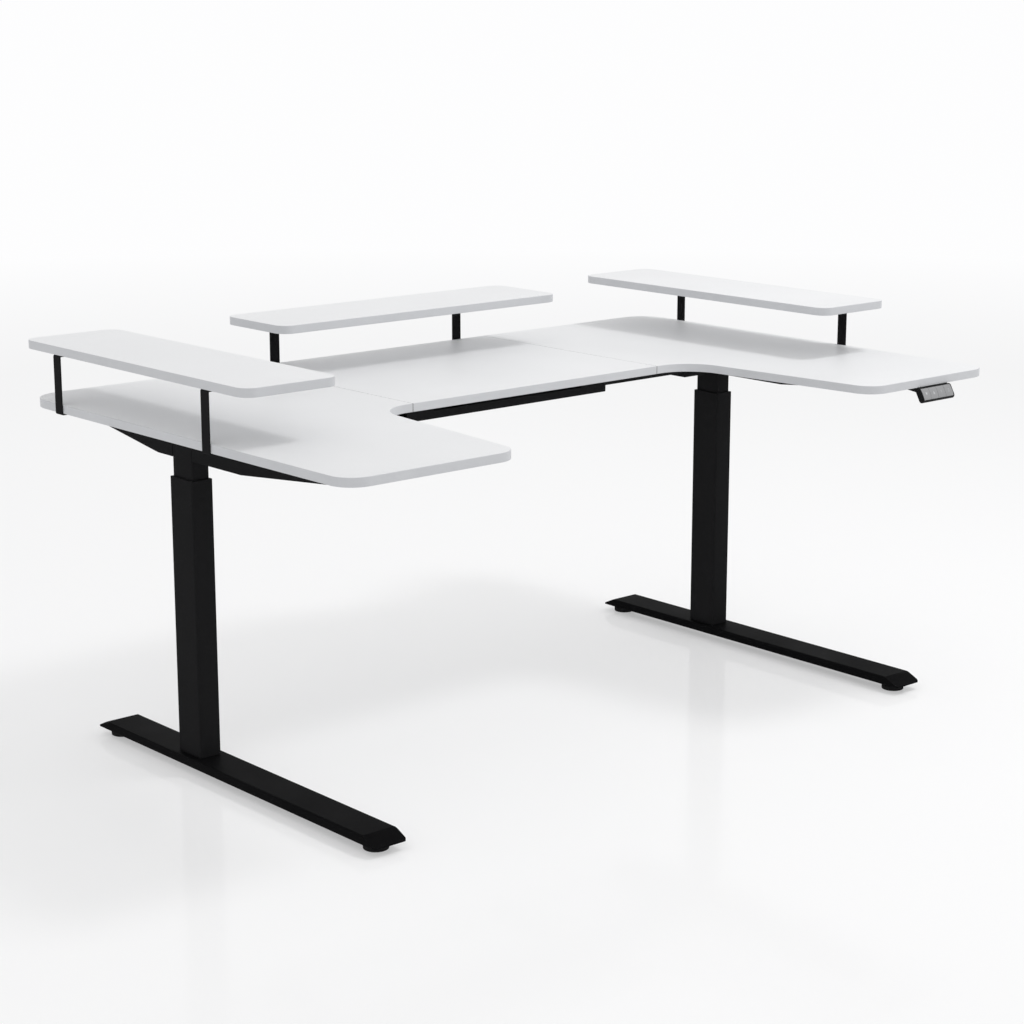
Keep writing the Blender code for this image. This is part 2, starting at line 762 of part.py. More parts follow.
def spindle(side):
    """A threaded spindle from the gear motor down through the nut, on its own axis."""
    at = (SIDES[side] * LEG_X, LEG_Y, INNER_TOP)
    low, high = SPINDLE_BOTTOM - INNER_TOP, SPINDLE_TOP - INNER_TOP
    return rod(side + "_spindle", SPINDLE_RADIUS, low, high, "bright_steel", at, BORE_SIDES)


standing, rising, spindles, glides = [], [], [], []
for side in SIDES:
    standing += standing_leg(side)
    rising += rising_leg(side)
    spindles.append(spindle(side))
    for end, spot in zip(("front", "rear"), glide_places(side)):
        glides.append(glide(f"{side}_{end}_glide", spot))


# Steel frame under the tops


def bracket_ends():
    """Rear and front end of the side brackets."""
    return BACK - BRACKET_REAR_GAP, FRONT + BRACKET_FRONT_GAP


def side_bracket(side):
    """An angle under the wing: a flange against the board and a web with tapered ends.

    The web lies flush with the inner column's outer face and is notched around the column.
    """
    sign = SIDES[side]
    face = LEG_X + INNER_WIDTH / 2
    skin = face - BRACKET_SHEET
    inner_edge = face - BRACKET_FLANGE
    beyond = BRACKET_SHEET
    rear, front = bracket_ends()
    deep = UNDER - BRACKET_DROP
    corners = [
        (inner_edge, SEATED_UNDER),
        (face, SEATED_UNDER, OUTER_BEND * BRACKET_SHEET),
        (face, deep - beyond),
        (skin, deep - beyond),
        (skin, FLANGE_BOTTOM, INNER_BEND * BRACKET_SHEET),
        (inner_edge, FLANGE_BOTTOM),
    ]
    angle = rounded([(sign * corner[0], *corner[1:]) for corner in corners], 3)
    name = side + "_side_bracket"
    made = prism(name, [angle], -rear - beyond, -front + beyond, "black_steel", "XZ")
    outline = rounded(
        [
            (rear, SEATED_UNDER + beyond),
            (rear, UNDER - BRACKET_END_DROP, beyond),
            (LEG_Y + BRACKET_FLAT_BEHIND, deep, BRACKET_CORNER),
            (LEG_Y - BRACKET_FLAT_AHEAD, deep, BRACKET_CORNER),
            (front, UNDER - BRACKET_END_DROP, beyond),
            (front, SEATED_UNDER + beyond),
        ],
        4,
    )
    across = sorted((sign * (inner_edge - beyond), sign * (face + beyond)))
    combine(made, prism(name + "_profile", [outline], *across, None, "YZ"), "INTERSECT")
    across = sorted((sign * (skin - beyond), sign * (face + beyond)))
    notch = block(
        name + "_notch",
        (across[0], LEG_Y - INNER_DEPTH / 2 - SEAT, deep - beyond),
        (across[1], LEG_Y + INNER_DEPTH / 2 + SEAT, FLANGE_BOTTOM),
        None,
    )
    combine(made, notch, "DIFFERENCE")
    return made


def bracket_screw_places(side):
    """Screws along a bracket's flange, clear of the column."""
    x = SIDES[side] * (LEG_X + INNER_WIDTH / 2 - BRACKET_SCREW_INSET)
    rear, front = bracket_ends()
    first, last = rear - BRACKET_SCREW_MARGIN, front + BRACKET_SCREW_MARGIN
    step = (last - first) / (BRACKET_SCREWS - 1)
    return [(x, first + step * number, FLANGE_BOTTOM) for number in range(BRACKET_SCREWS)]


brackets = []
for side in SIDES:
    made = side_bracket(side)
    combine(made, screw_holes(side + "_bracket_holes", bracket_screw_places(side)), "DIFFERENCE")
    brackets.append(made)

RAIL_END = LEG_X - INNER_WIDTH / 2 - SEAT - COVER_LENGTH


def rail_bolt_holes(name, sides, ends):
    """A cutter along Y for the bolts that hold the tongues in the rails."""
    reach = RAIL_SHEET + TONGUE_SHEET
    source = rod(
        "rail_bolt_hole", RAIL_BOLT_RADIUS, -reach, reach, None,
        sides=SCREW_SIDES, turn=Matrix.Rotation(math.pi / 2, 4, "X"),
    )
    places = [
        (
            SIDES[side] * (RAIL_END - RAIL_BOLT_INSET - number * RAIL_BOLT_PITCH),
            LEG_Y + ENDS[end] * (RAIL_PAIR_DEPTH / 2 - RAIL_SHEET),
            SEATED_UNDER - RAIL_HEIGHT / 2,
        )
        for side in sides for end in ends for number in (0, 1)
    ]
    return repeated(name, source, places, None)


def rail(end):
    """A C-shaped rail along the middle, open towards its twin."""
    sign = ENDS[end]
    web = LEG_Y + sign * RAIL_PAIR_DEPTH / 2
    low, high = SEATED_UNDER - RAIL_HEIGHT, SEATED_UNDER
    inner, outer = INNER_BEND * RAIL_SHEET, OUTER_BEND * RAIL_SHEET
    section = [
        (web, low, outer),
        (web, high, outer),
        (web - sign * RAIL_FLANGE, high),
        (web - sign * RAIL_FLANGE, high - RAIL_SHEET),
        (web - sign * RAIL_SHEET, high - RAIL_SHEET, inner),
        (web - sign * RAIL_SHEET, low + RAIL_SHEET, inner),
        (web - sign * RAIL_FLANGE, low + RAIL_SHEET),
        (web - sign * RAIL_FLANGE, low),
    ]
    name = end + "_rail"
    made = prism(name, [rounded(section, 3)], SEAT - RAIL_END, RAIL_END - SEAT, "black_steel", "YZ")
    combine(made, rail_bolt_holes(name + "_holes", SIDES, [end]), "DIFFERENCE")
    return made


def tongue_levels():
    """Lowest and highest level of the tongues that enter the rails."""
    middle = SEATED_UNDER - RAIL_HEIGHT / 2
    return middle - TONGUE_HEIGHT / 2, middle + TONGUE_HEIGHT / 2


def rail_bracket(side):
    """A U-shaped bracket: its end plate is welded to the column, its tongues enter the rails."""
    sign = SIDES[side]
    start = LEG_X - INNER_WIDTH / 2 - SEAT
    end = RAIL_END - TONGUE_INTO_RAIL
    outside = RAIL_PAIR_DEPTH / 2 - RAIL_SHEET - SEAT
    inner, outer = INNER_BEND * TONGUE_SHEET, OUTER_BEND * TONGUE_SHEET
    corners = [
        (start, LEG_Y - outside, outer),
        (start, LEG_Y + outside, outer),
        (end, LEG_Y + outside),
        (end, LEG_Y + outside - TONGUE_SHEET),
        (start - TONGUE_SHEET, LEG_Y + outside - TONGUE_SHEET, inner),
        (start - TONGUE_SHEET, LEG_Y - outside + TONGUE_SHEET, inner),
        (end, LEG_Y - outside + TONGUE_SHEET),
        (end, LEG_Y - outside),
    ]
    outline = rounded([(sign * corner[0], *corner[1:]) for corner in corners], 3)
    low, high = tongue_levels()
    bottom = UNDER - TONGUE_PLATE_DROP
    name = side + "_rail_bracket"
    made = prism(name, [outline], bottom, high, "black_steel")
    across = sorted((sign * (start - 2 * TONGUE_SHEET), sign * (end - TONGUE_SHEET)))
    relief = block(
        name + "_relief",
        (across[0], LEG_Y - outside - TONGUE_SHEET, bottom - TONGUE_SHEET),
        (across[1], LEG_Y + outside + TONGUE_SHEET, low),
        None,
    )
    combine(made, relief, "DIFFERENCE")
    across = sorted((sign * (start + TONGUE_SHEET), sign * (start - 2 * TONGUE_SHEET)))
    notch = block(
        name + "_notch",
        (across[0], LEG_Y - MOTOR_RADIUS - SEAT, INNER_TOP - 2 * MOTOR_RADIUS - 2 * SEAT),
        (across[1], LEG_Y + MOTOR_RADIUS + SEAT, high + TONGUE_SHEET),
        None,
    )
    combine(made, notch, "DIFFERENCE")
    combine(made, rail_bolt_holes(name + "_holes", [side], ENDS), "DIFFERENCE")
    return made


def motor_cover(side):
    """A folded sheet cover around the motor, open at the top and towards the column."""
    sign = SIDES[side]
    start = LEG_X - INNER_WIDTH / 2 - 2 * SEAT - TONGUE_SHEET
    end = RAIL_END + SEAT
    half = RAIL_PAIR_DEPTH / 2
    low, high = UNDER - COVER_DROP, FLANGE_BOTTOM - SEAT
    name = side + "_motor_cover"
    across = sorted((sign * start, sign * end))
    made = block(
        name, (across[0], LEG_Y - half, low), (across[1], LEG_Y + half, high), "black_steel"
    )
    across = sorted((sign * (start + COVER_WALL), sign * (end + COVER_WALL)))
    room = block(
        name + "_room",
        (across[0], LEG_Y - half + COVER_WALL, low + COVER_WALL),
        (across[1], LEG_Y + half - COVER_WALL, high + COVER_WALL),
        None,
    )
    combine(made, room, "DIFFERENCE")
    across = sorted((sign * (end - COVER_WALL), sign * (end + 2 * COVER_WALL)))
    tongue = half - RAIL_SHEET - SEAT - TONGUE_SHEET / 2
    reach = TONGUE_SHEET / 2 + SEAT
    for where, way in ENDS.items():
        y = LEG_Y + way * tongue
        slot = block(
            f"{name}_{where}_slot",
            (across[0], y - reach, tongue_levels()[0] - SEAT),
            (across[1], y + reach, high + COVER_WALL),
            None,
        )
        combine(made, slot, "DIFFERENCE")
    return made


rails = [rail(end) for end in ENDS]
rail_brackets = [rail_bracket(side) for side in SIDES]
covers = [motor_cover(side) for side in SIDES]


def seam_plates(side):
    """Two flat plates bridge each seam, one behind the rails and one in front of them."""
    x = SIDES[side] * CENTRE_WIDTH / 2
    half = RAIL_PAIR_DEPTH / 2 + SEAM_PLATE_GAP
    spans = {
        "rear": (LEG_Y + half, BACK - SEAM_PLATE_MARGIN),
        "front": (BACK - CENTRE_DEPTH + SEAM_PLATE_MARGIN, LEG_Y - half),
    }
    for end, (low_y, high_y) in spans.items():
        under = SEATED_UNDER - SEAM_PLATE_SHEET
        outline = rounded(
            rectangle(SEAM_PLATE_WIDTH, high_y - low_y, 2 * SEAM_PLATE_SHEET, x, (low_y + high_y) / 2), 3
        )
        name = f"{side}_{end}_seam_plate"
        made = prism(name, [outline], under, SEATED_UNDER, "black_steel")
        inset = SEAM_SCREW_INSET
        reach = (high_y - low_y) / 2 - inset
        places = [
            (x + i * (SEAM_PLATE_WIDTH / 2 - inset), (low_y + high_y) / 2 + j * reach, under)
            for i in (-1, 1) for j in (-1, 1)
        ]
        combine(made, screw_holes(name + "_holes", places), "DIFFERENCE")
        yield made


plates = [made for side in SIDES for made in seam_plates(side)]


# Cable tray and control box


def cable_tray():
    """A folded sheet tray: a low front lip between two tall ears, a slotted floor, a back wall."""
    front = BACK - TRAY_FRONT_SETBACK
    rear = front + TRAY_DEPTH
    low, high = UNDER - TRAY_DROP, SEATED_UNDER
    sheet = TRAY_SHEET
    half = TRAY_LENGTH / 2
    outside = rounded(
        [(front, low, 2 * sheet), (rear, low, 2 * sheet), (rear, high), (front, high)], 3
    )
    inside = rounded(
        [(front + sheet, low + sheet, sheet), (rear - sheet, low + sheet, sheet),
         (rear - sheet, high - sheet), (front + sheet, high - sheet)], 3,
    )
    made = prism("cable_tray", [outside], -half, half, "black_steel", "YZ")
    hollow = prism("tray_hollow", [inside], -half - sheet, half + sheet, None, "YZ")
    combine(made, hollow, "DIFFERENCE")
    mouth = block(
        "tray_mouth",
        (-half - sheet, front + TRAY_FLANGE, high - 2 * sheet),
        (half + sheet, rear - TRAY_FLANGE, high + sheet),
        None,
    )
    combine(made, mouth, "DIFFERENCE")
    window = block(
        "tray_window",
        (-half + TRAY_EAR, front - sheet, low + TRAY_LIP),
        (half - TRAY_EAR, front + TRAY_FLANGE + sheet, high + sheet),
        None,
    )
    combine(made, window, "DIFFERENCE")
    middle = (front + rear) / 2
    slot_outline = rounded(rectangle(TRAY_SLOT_LENGTH, TRAY_SLOT_WIDTH, TRAY_SLOT_RADIUS), 3)
    slot = prism("slot", [slot_outline], low - sheet, low + 2 * sheet, None)
    first = -(TRAY_SLOTS - 1) / 2
    spots = [((first + number) * TRAY_SLOT_PITCH, middle, slot.location.z) for number in range(TRAY_SLOTS)]
    combine(made, repeated("tray_slots", slot, spots, None), "DIFFERENCE")
    return made, front, rear, low


tray, tray_front, tray_rear, tray_low = cable_tray()
tray_screw_places = [
    (i * (TRAY_LENGTH / 2 - inset), y, SEATED_UNDER - TRAY_SHEET)
    for i in (-1, 1) for inset in (TRAY_SCREW_INSET, TRAY_EAR - TRAY_SCREW_INSET)
    for y in (tray_front + TRAY_FLANGE / 2, tray_rear - TRAY_FLANGE / 2)
]
combine(tray, screw_holes("tray_holes", tray_screw_places), "DIFFERENCE")

control_low = tray_low + TRAY_SHEET + SEAT
tray_middle = (tray_front + tray_rear) / 2
control_box = block(
    "control_box",
    (-CONTROL_LENGTH / 2, tray_middle - CONTROL_DEPTH / 2, control_low),
    (CONTROL_LENGTH / 2, tray_middle + CONTROL_DEPTH / 2, control_low + CONTROL_HEIGHT),
    "black_plastic",
)
arris(control_box, CONTROL_EDGE, 2)


# Handset


def handset():
    """A rounded bar held below the front edge, with four wide keys on its tilted face."""
    centre = Vector((FRONT - HANDSET_AHEAD, UNDER - HANDSET_BELOW))
    down = Vector((-math.sin(HANDSET_TILT), -math.cos(HANDSET_TILT)))
    out = Vector((-math.cos(HANDSET_TILT), math.sin(HANDSET_TILT)))
    thick = HANDSET_HALF_THICKNESS

    def spot(along, normal, radius=0):
        """A corner in the bar's own section: along its long side and out of its face."""
        return (*(centre + down * along + out * normal), radius)

    low, high = HANDSET_LOW, HANDSET_LOW + HANDSET_LENGTH
    round_edge = HANDSET_EDGE_RADIUS
    bar = rounded(
        [spot(-HANDSET_HALF, thick, round_edge), spot(-HANDSET_HALF, -thick, round_edge),
         spot(HANDSET_HALF, -thick, round_edge), spot(HANDSET_HALF, thick, round_edge)], 6,
    )
    housing = prism("handset_housing", [bar], low, high, "black_plastic", "YZ")
    base = rounded(
        [(FRONT + HANDSET_BASE_BACK, SEATED_UNDER, 0), (FRONT, SEATED_UNDER, 0),
         (FRONT, UNDER - HANDSET_BASE_THICK, 0),
         (FRONT + HANDSET_BASE_BACK / 2, UNDER - (HANDSET_BASE_THICK + HANDSET_BASE_THIN) / 2, 0),
         (FRONT + HANDSET_BASE_BACK, UNDER - HANDSET_BASE_THIN, 0)], 1,
    )
    inset = HANDSET_END_WALL
    combine(housing, prism("handset_base", [base], low + inset, high - inset, None, "YZ"), "UNION")
    seat_level = BUTTON_BACK - BUTTON_TRAVEL - SEAT
    pocket = rounded(
        [spot(-BUTTON_HALF - BUTTON_GAP, seat_level), spot(BUTTON_HALF + BUTTON_GAP, seat_level),
         spot(BUTTON_HALF + BUTTON_GAP, 2 * thick), spot(-BUTTON_HALF - BUTTON_GAP, 2 * thick)], 1,
    )
    wall = HANDSET_END_WALL
    combine(housing, prism("handset_pocket", [pocket], low + wall, high - wall, None, "YZ"), "DIFFERENCE")
    pitch = (HANDSET_LENGTH - 2 * wall - BUTTON_GAP) / BUTTON_COUNT
    half = BUTTON_HALF
    keys = []
    crown = []
    for step in range(CROWN_STEPS + 1):
        along = half - 2 * half * step / CROWN_STEPS
        share = along / half
        crown.append(spot(along, BUTTON_CROWN - (BUTTON_CROWN - BUTTON_EDGE) * share * share))
    section = [spot(-half, BUTTON_BACK)[:2], spot(half, BUTTON_BACK)[:2]] + [corner[:2] for corner in crown]
    names = ("down_key", "up_key", "memory_one_key", "memory_two_key")
    for number, name in enumerate(names):
        start = low + wall + BUTTON_GAP + number * pitch
        keys.append(prism(name, [section], start, start + pitch - BUTTON_GAP, "grey_plastic", "YZ"))
    return housing, keys


housing, keys = handset()
bore = SCREW_HOLE_RADIUS
sunk = [
    (0, SCREW_HOLE_REACH),
    (bore, SCREW_HOLE_REACH),
    (bore, 0),
    (2 * bore, 0),
    (2 * bore, -HANDSET_BASE_THICK),
    (0, -HANDSET_BASE_THICK),
]
handset_screw_places = [
    (x, FRONT + HANDSET_BASE_BACK - HANDSET_SCREW_INSET, UNDER - HANDSET_SCREW_SEAT)
    for x in (
        HANDSET_LOW + HANDSET_SCREW_MARGIN, HANDSET_LOW + HANDSET_LENGTH - HANDSET_SCREW_MARGIN
    )
]
sunk_hole = turned("sunk_hole", sunk, None, sides=BORE_SIDES)
combine(housing, repeated("handset_holes", sunk_hole, handset_screw_places, None), "DIFFERENCE")

carry(base_carrier, *standing, *glides)
carry(
    top_carrier, *boards.values(), *shelves, *straps, *rising, *spindles, *brackets, *rails,
    *rail_brackets, *covers, *plates, tray, control_box, housing, *keys,
)
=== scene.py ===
# %% [markdown]
# # A U-shaped standing desk
# This notebook dresses a finished model of the desk. The model, called the frame, already holds
# every board, tube and bracket at its real size. Here each visible piece gets the fine shape of its
# edges and the finish of its surface, and then a floor, a lamp and a camera show it as a studio
# photograph does. All sizes are in metres, and x = 0 is the middle of the desk.

# %% Load the frame
import json
import math

import bmesh
import bpy
import numpy as np
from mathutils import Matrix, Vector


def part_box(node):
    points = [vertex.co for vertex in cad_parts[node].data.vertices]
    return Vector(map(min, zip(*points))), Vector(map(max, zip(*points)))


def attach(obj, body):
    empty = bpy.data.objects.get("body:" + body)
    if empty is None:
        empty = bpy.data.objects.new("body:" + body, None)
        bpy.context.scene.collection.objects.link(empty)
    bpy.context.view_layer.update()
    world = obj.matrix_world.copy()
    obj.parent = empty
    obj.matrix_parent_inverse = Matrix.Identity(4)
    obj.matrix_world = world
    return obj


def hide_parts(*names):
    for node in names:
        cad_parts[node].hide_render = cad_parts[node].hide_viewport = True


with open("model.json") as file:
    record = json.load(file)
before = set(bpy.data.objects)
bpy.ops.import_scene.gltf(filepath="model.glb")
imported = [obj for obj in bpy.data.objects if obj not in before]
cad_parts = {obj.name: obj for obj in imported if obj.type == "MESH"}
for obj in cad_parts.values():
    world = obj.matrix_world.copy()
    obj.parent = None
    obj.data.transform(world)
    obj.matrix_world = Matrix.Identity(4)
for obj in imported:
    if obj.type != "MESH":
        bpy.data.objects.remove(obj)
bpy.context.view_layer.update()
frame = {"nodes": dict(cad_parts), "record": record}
nodes = frame["nodes"]
print("pieces in the frame:", len(nodes))


# %% [markdown]
# ## Tools for shapes
# A surface here is an array of points and an array of faces that say which points belong together.
# The points lie on a grid: one direction runs around a piece, the other along it. Working the whole
# grid out at once keeps the code short, and a smooth curve costs no more work than a straight line.

# %% Turn arrays into a mesh object
SHARP_ANGLE = 35.0


def shown(name, mesh, materials):
    """An object at the origin from a mesh, with these materials.

    Edges that turn by more than the sharp angle, in degrees, stay crisp, and all others are
    shaded smooth.
    """
    mesh.shade_smooth()
    mesh.set_sharp_from_angle(angle=math.radians(SHARP_ANGLE))
    made = bpy.data.objects.new(name, mesh)
    bpy.context.scene.collection.objects.link(made)
    mesh.materials.clear()
    for material in materials:
        mesh.materials.append(material)
    even = made.modifiers.new("Even normals", "WEIGHTED_NORMAL")
    even.keep_sharp = True
    return made


def piece(name, points, faces, materials):
    """An object at the origin from an array of points and a list of faces, as point numbers."""
    mesh = bpy.data.meshes.new(name)
    mesh.from_pydata(np.asarray(points, float).tolist(), [], [list(face) for face in faces])
    mesh.validate()
    return shown(name, mesh, materials)


def grid_faces(rows, columns, first=0):
    """Four-cornered faces between neighbours on a grid whose columns run round and meet again."""
    row = np.arange(rows - 1)[:, None]
    column = np.arange(columns)[None, :]
    beside = (column + 1) % columns
    corners = [row * columns + column, row * columns + beside, (row + 1) * columns + beside,
               (row + 1) * columns + column]
    return (np.stack(np.broadcast_arrays(*corners), -1).reshape(-1, 4) + first).tolist()


def tube_faces(rows, columns):
    """The faces of a closed tube: the grid, and then one face at its low and its high end."""
    last = (rows - 1) * columns
    ends = [list(range(columns))[::-1], list(range(last, last + columns))]
    return grid_faces(rows, columns) + ends


def ride_for(made, node):
    """The new piece stands for a node of the frame and moves with its body; the node is hidden."""
    body = next(name for name, held in frame["record"]["behaviour"]["bodies"].items() if node in held)
    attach(made, body)
    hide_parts(node)
    return made


# %% Outlines with rounded corners
def outline(corners, steps=12):
    """Points round a flat shape, as an (n, 2) array.

    A corner is (x, y) or (x, y, radius). A radius puts an arc there: its centre lies on the line
    that halves the corner's angle, at radius / sin(half angle), and its points turn evenly about it.
    """
    corners = [(corner[0], corner[1], corner[2] if len(corner) > 2 else 0) for corner in corners]
    found = []
    for number, (x, y, radius) in enumerate(corners):
        here = np.array([x, y])
        if not radius:
            found.append(here[None])
            continue
        before = np.array(corners[number - 1][:2]) - here
        after = np.array(corners[(number + 1) % len(corners)][:2]) - here
        before, after = before / np.linalg.norm(before), after / np.linalg.norm(after)
        half = math.acos(np.clip(before @ after, -1, 1)) / 2
        middle = (before + after) / np.linalg.norm(before + after)
        centre = here + middle * radius / math.sin(half)
        start = here + before * radius / math.tan(half) - centre
        end = here + after * radius / math.tan(half) - centre
        sweep = math.atan2(start[0] * end[1] - start[1] * end[0], start @ end)
        turn = np.linspace(0, sweep, steps + 1)[:, None]
        across = np.array([-start[1], start[0]])
        found.append(centre + start * np.cos(turn) + across * np.sin(turn))
    return np.concatenate(found)


def box_corners(low, high, radius=0.0):
    """Corners of a rectangle between two opposite points, all with the same radius."""
    (x0, y0), (x1, y1) = low, high
    return [(x0, y0, radius), (x1, y0, radius), (x1, y1, radius), (x0, y1, radius)]


def twist(points):
    """Twice the area inside an outline, positive where its points run anticlockwise."""
    x, y = points[:, 0], points[:, 1]
    return np.sum(x * np.roll(y, -1) - np.roll(x, -1) * y)


def inward_steps(points):
    """For each outline point, the step that moves both of its sides inwards by one unit.

    With the unit normals a and b of the two sides, the step is (a + b) / (1 + a.b).
    """
    ahead = np.roll(points, -1, 0) - points
    normal = np.stack([-ahead[:, 1], ahead[:, 0]], 1) / np.linalg.norm(ahead, axis=1)[:, None]
    normal *= 1 if twist(points) > 0 else -1
    earlier = np.roll(normal, 1, 0)
    return (normal + earlier) / (1 + np.sum(normal * earlier, 1))[:, None]


AXES = {"XY": (0, 1, 2), "YZ": (1, 2, 0), "XZ": (0, 2, 1)}


def stand(flat, level, plane):
    """Put flat points and their levels into space; the plane's letters name its two axes."""
    points = np.zeros((len(flat), 3))
    first, second, third = AXES[plane]
    points[:, first], points[:, second], points[:, third] = flat[:, 0], flat[:, 1], level
    return points


def ordered(points, plane):
    """The outline run so that the faces built from it point outwards in this plane."""
    wanted = -1 if plane == "XZ" else 1
    return points if twist(points) * wanted > 0 else points[::-1]


def edge_profile(low, high, radius, steps=3):
    """(inset, level) pairs up a slab's edge, with a quarter round of the radius at both corners."""
    turn = np.linspace(0, math.pi / 2, steps + 1)
    inset, rise = radius * (1 - np.sin(turn)), radius * (1 - np.cos(turn))
    lower = np.stack([inset, low + rise], 1)
    upper = np.stack([inset[::-1], high - rise[::-1]], 1)
    return np.concatenate([lower, upper])


def slab(name, points, low, high, radius, materials, plane="XY", ease=None):
    """A plate of any outline with softly rounded edges.

    Point (i, j) is outline point j moved inwards by inset i and put at level i, where the insets
    and levels follow the edge profile. A face at each end closes it. The ends take the first
    material and the edge takes the last. ease gives each outline point its share of the inset.
    """
    points = ordered(points, plane)
    steps = inward_steps(points)
    if ease:
        steps = steps * ease(points)[:, None]
    profile = edge_profile(low, high, radius)
    loops = [stand(points + steps * inset, level, plane) for inset, level in profile]
    faces = tube_faces(len(profile), len(points))
    made = piece(name, np.concatenate(loops), faces, materials)
    if len(materials) > 1:
        index = np.ones(len(made.data.polygons), np.int32)
        index[-2:] = 0
        made.data.polygons.foreach_set("material_index", index)
    return made


# %% Shapes turned about an axis
UPRIGHT = np.eye(3)
TO_FRONT = np.array([[1, 0, 0], [0, 0, 1], [0, -1, 0]])
TO_BACK = np.array([[1, 0, 0], [0, 0, -1], [0, 1, 0]])


def circle_angles(count):
    """Angles that divide a full turn evenly, from 0."""
    return math.tau * np.arange(count) / count


def axis_of(node):
    """The point on the floor under the middle of a node, where a turned shape stands for it."""
    low, high = (np.array(corner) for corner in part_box(node))
    return (*((low + high) / 2)[:2], 0)


def turned(name, radii, heights, places, materials, turn=UPRIGHT):
    """A profile turned about the z axis, then copied to every place.

    Point (i, j) is (r cos a, r sin a, h) with the height h of row i and the angle
    a = 2 pi j / n. Row i of the radii holds one radius for each of the n angles, so the section
    may be round, ribbed, a thread or a cross. Rows run from the lowest face up the outside to the
    highest, and a face closes each end. turn is the matrix that tips the axis.
    """
    rows, count = radii.shape
    angle = circle_angles(count)
    height = np.broadcast_to(np.asarray(heights)[:, None], radii.shape)
    upright = np.stack([radii * np.cos(angle), radii * np.sin(angle), height], -1)
    single = upright.reshape(-1, 3) @ turn.T
    places = np.asarray(places, float).reshape(-1, 3)
    points = (places[:, None, :] + single[None]).reshape(-1, 3)
    one = tube_faces(rows, count)
    firsts = [copy * len(single) for copy in range(len(places))]
    faces = [[first + corner for corner in face] for first in firsts for face in one]
    return piece(name, points, faces, materials)


def rings(radii, count):
    """Plain round rows for a turned shape, one for each radius."""
    return np.repeat(np.asarray(radii, float)[:, None], count, 1)


def thread(radius, depth, lead, low, high, count, steps=6, starts=1):
    """Rows of a screw thread: the radius falls by a smooth wave that climbs one lead each turn.

    A thread with several starts has as many ridges side by side, a pitch of lead / starts apart.
    radius(z, a) = radius - depth (1 + cos(2 pi z / pitch - starts a)) / 2, and the wave fades in
    and out over the first and last pitch.
    """
    pitch = lead / starts
    height = np.linspace(low, high, max(2, int((high - low) / pitch * steps)))
    phase = math.tau * height[:, None] / pitch - starts * circle_angles(count)
    wave = (1 + np.cos(phase)) / 2
    fade = np.clip(np.minimum(height - low, high - height) / pitch, 0, 1)[:, None]
    return radius - depth * (1 - fade + fade * wave), height


# %% [markdown]
# ## Finishes
# The desk has few finishes: white melamine board with a plastic edge band, black powder-coated
# steel, black moulded plastic, the dark grey keys of the handset, and plated metal inside the
# columns. A photograph of such surfaces is never one flat colour. Each finish here has a fine
# relief from noise, and a slow change of gloss that shows where light grazes it. All patterns read
# the object's own coordinates, so they stay in place when the desk is seen from another side.

# %% A finish with fine relief and uneven gloss
def noise(tree, coordinates, scale, detail=2.0):
    """The grey value of a noise texture on these coordinates; scale is in waves per metre."""
    texture = tree.nodes.new("ShaderNodeTexNoise")
    texture.inputs["Scale"].default_value = scale
    texture.inputs["Detail"].default_value = detail
    tree.links.new(coordinates, texture.inputs["Vector"])
    return texture.outputs["Fac"]


def computed(tree, operation, *values):
    """A maths node on sockets or numbers."""
    step = tree.nodes.new("ShaderNodeMath")
    step.operation = operation
    for socket, value in zip(step.inputs, values):
        if isinstance(value, bpy.types.NodeSocket):
            tree.links.new(value, socket)
        else:
            socket.default_value = value
    return step.outputs["Value"]


def spread(tree, value, low, high, start=0.3, end=0.7):
    """Map a grey value between start and end to a value between low and high."""
    ramp = tree.nodes.new("ShaderNodeMapRange")
    for socket, number in zip(("From Min", "From Max", "To Min", "To Max"), (start, end, low, high)):
        ramp.inputs[socket].default_value = number
    tree.links.new(value, ramp.inputs["Value"])
    return ramp.outputs["Result"]


def tinted(tree, value, dark, light):
    """A colour that runs from dark to light with a grey value."""
    mix = tree.nodes.new("ShaderNodeMix")
    mix.data_type = "RGBA"
    mix.inputs["A"].default_value = (*dark, 1)
    mix.inputs["B"].default_value = (*light, 1)
    tree.links.new(value, mix.inputs["Factor"])
    return mix.outputs["Result"]


def relief(tree, value, depth, strength=1.0, under=None):
    """A bump whose height, in metres, follows a grey value; it can lie over another bump."""
    bump = tree.nodes.new("ShaderNodeBump")
    bump.inputs["Strength"].default_value = strength
    bump.inputs["Distance"].default_value = depth
    tree.links.new(value, bump.inputs["Height"])
    if under:
        tree.links.new(under, bump.inputs["Normal"])
    return bump.outputs["Normal"]


def finish(name, metallic=0.0, level=0.5):
    """An empty finish: its material, node tree, shader and object coordinates."""
    made = bpy.data.materials.new(name)
    made.use_nodes = True
    tree = made.node_tree
    shader = tree.nodes["Principled BSDF"]
    shader.inputs["Metallic"].default_value = metallic
    shader.inputs["Specular IOR Level"].default_value = level
    coordinates = tree.nodes.new("ShaderNodeTexCoord").outputs["Object"]
    return made, tree, shader, coordinates


def plain_finish(name, dark, light, gloss, grain, depth, metallic=0.0, level=0.5, cloud=6.0):
    """A finish in two close shades, with gloss that varies slowly and a fine grain in relief.

    gloss is the lowest and highest roughness, grain the waves of the relief per metre and depth
    its height in metres.
    """
    made, tree, shader, coordinates = finish(name, metallic, level)
    slow = noise(tree, coordinates, cloud, 3.0)
    fine = noise(tree, coordinates, grain, 1.0)
    tree.links.new(tinted(tree, spread(tree, slow, 0, 1), dark, light), shader.inputs["Base Color"])
    tree.links.new(spread(tree, slow, *gloss), shader.inputs["Roughness"])
    tree.links.new(relief(tree, fine, depth), shader.inputs["Normal"])
    return made
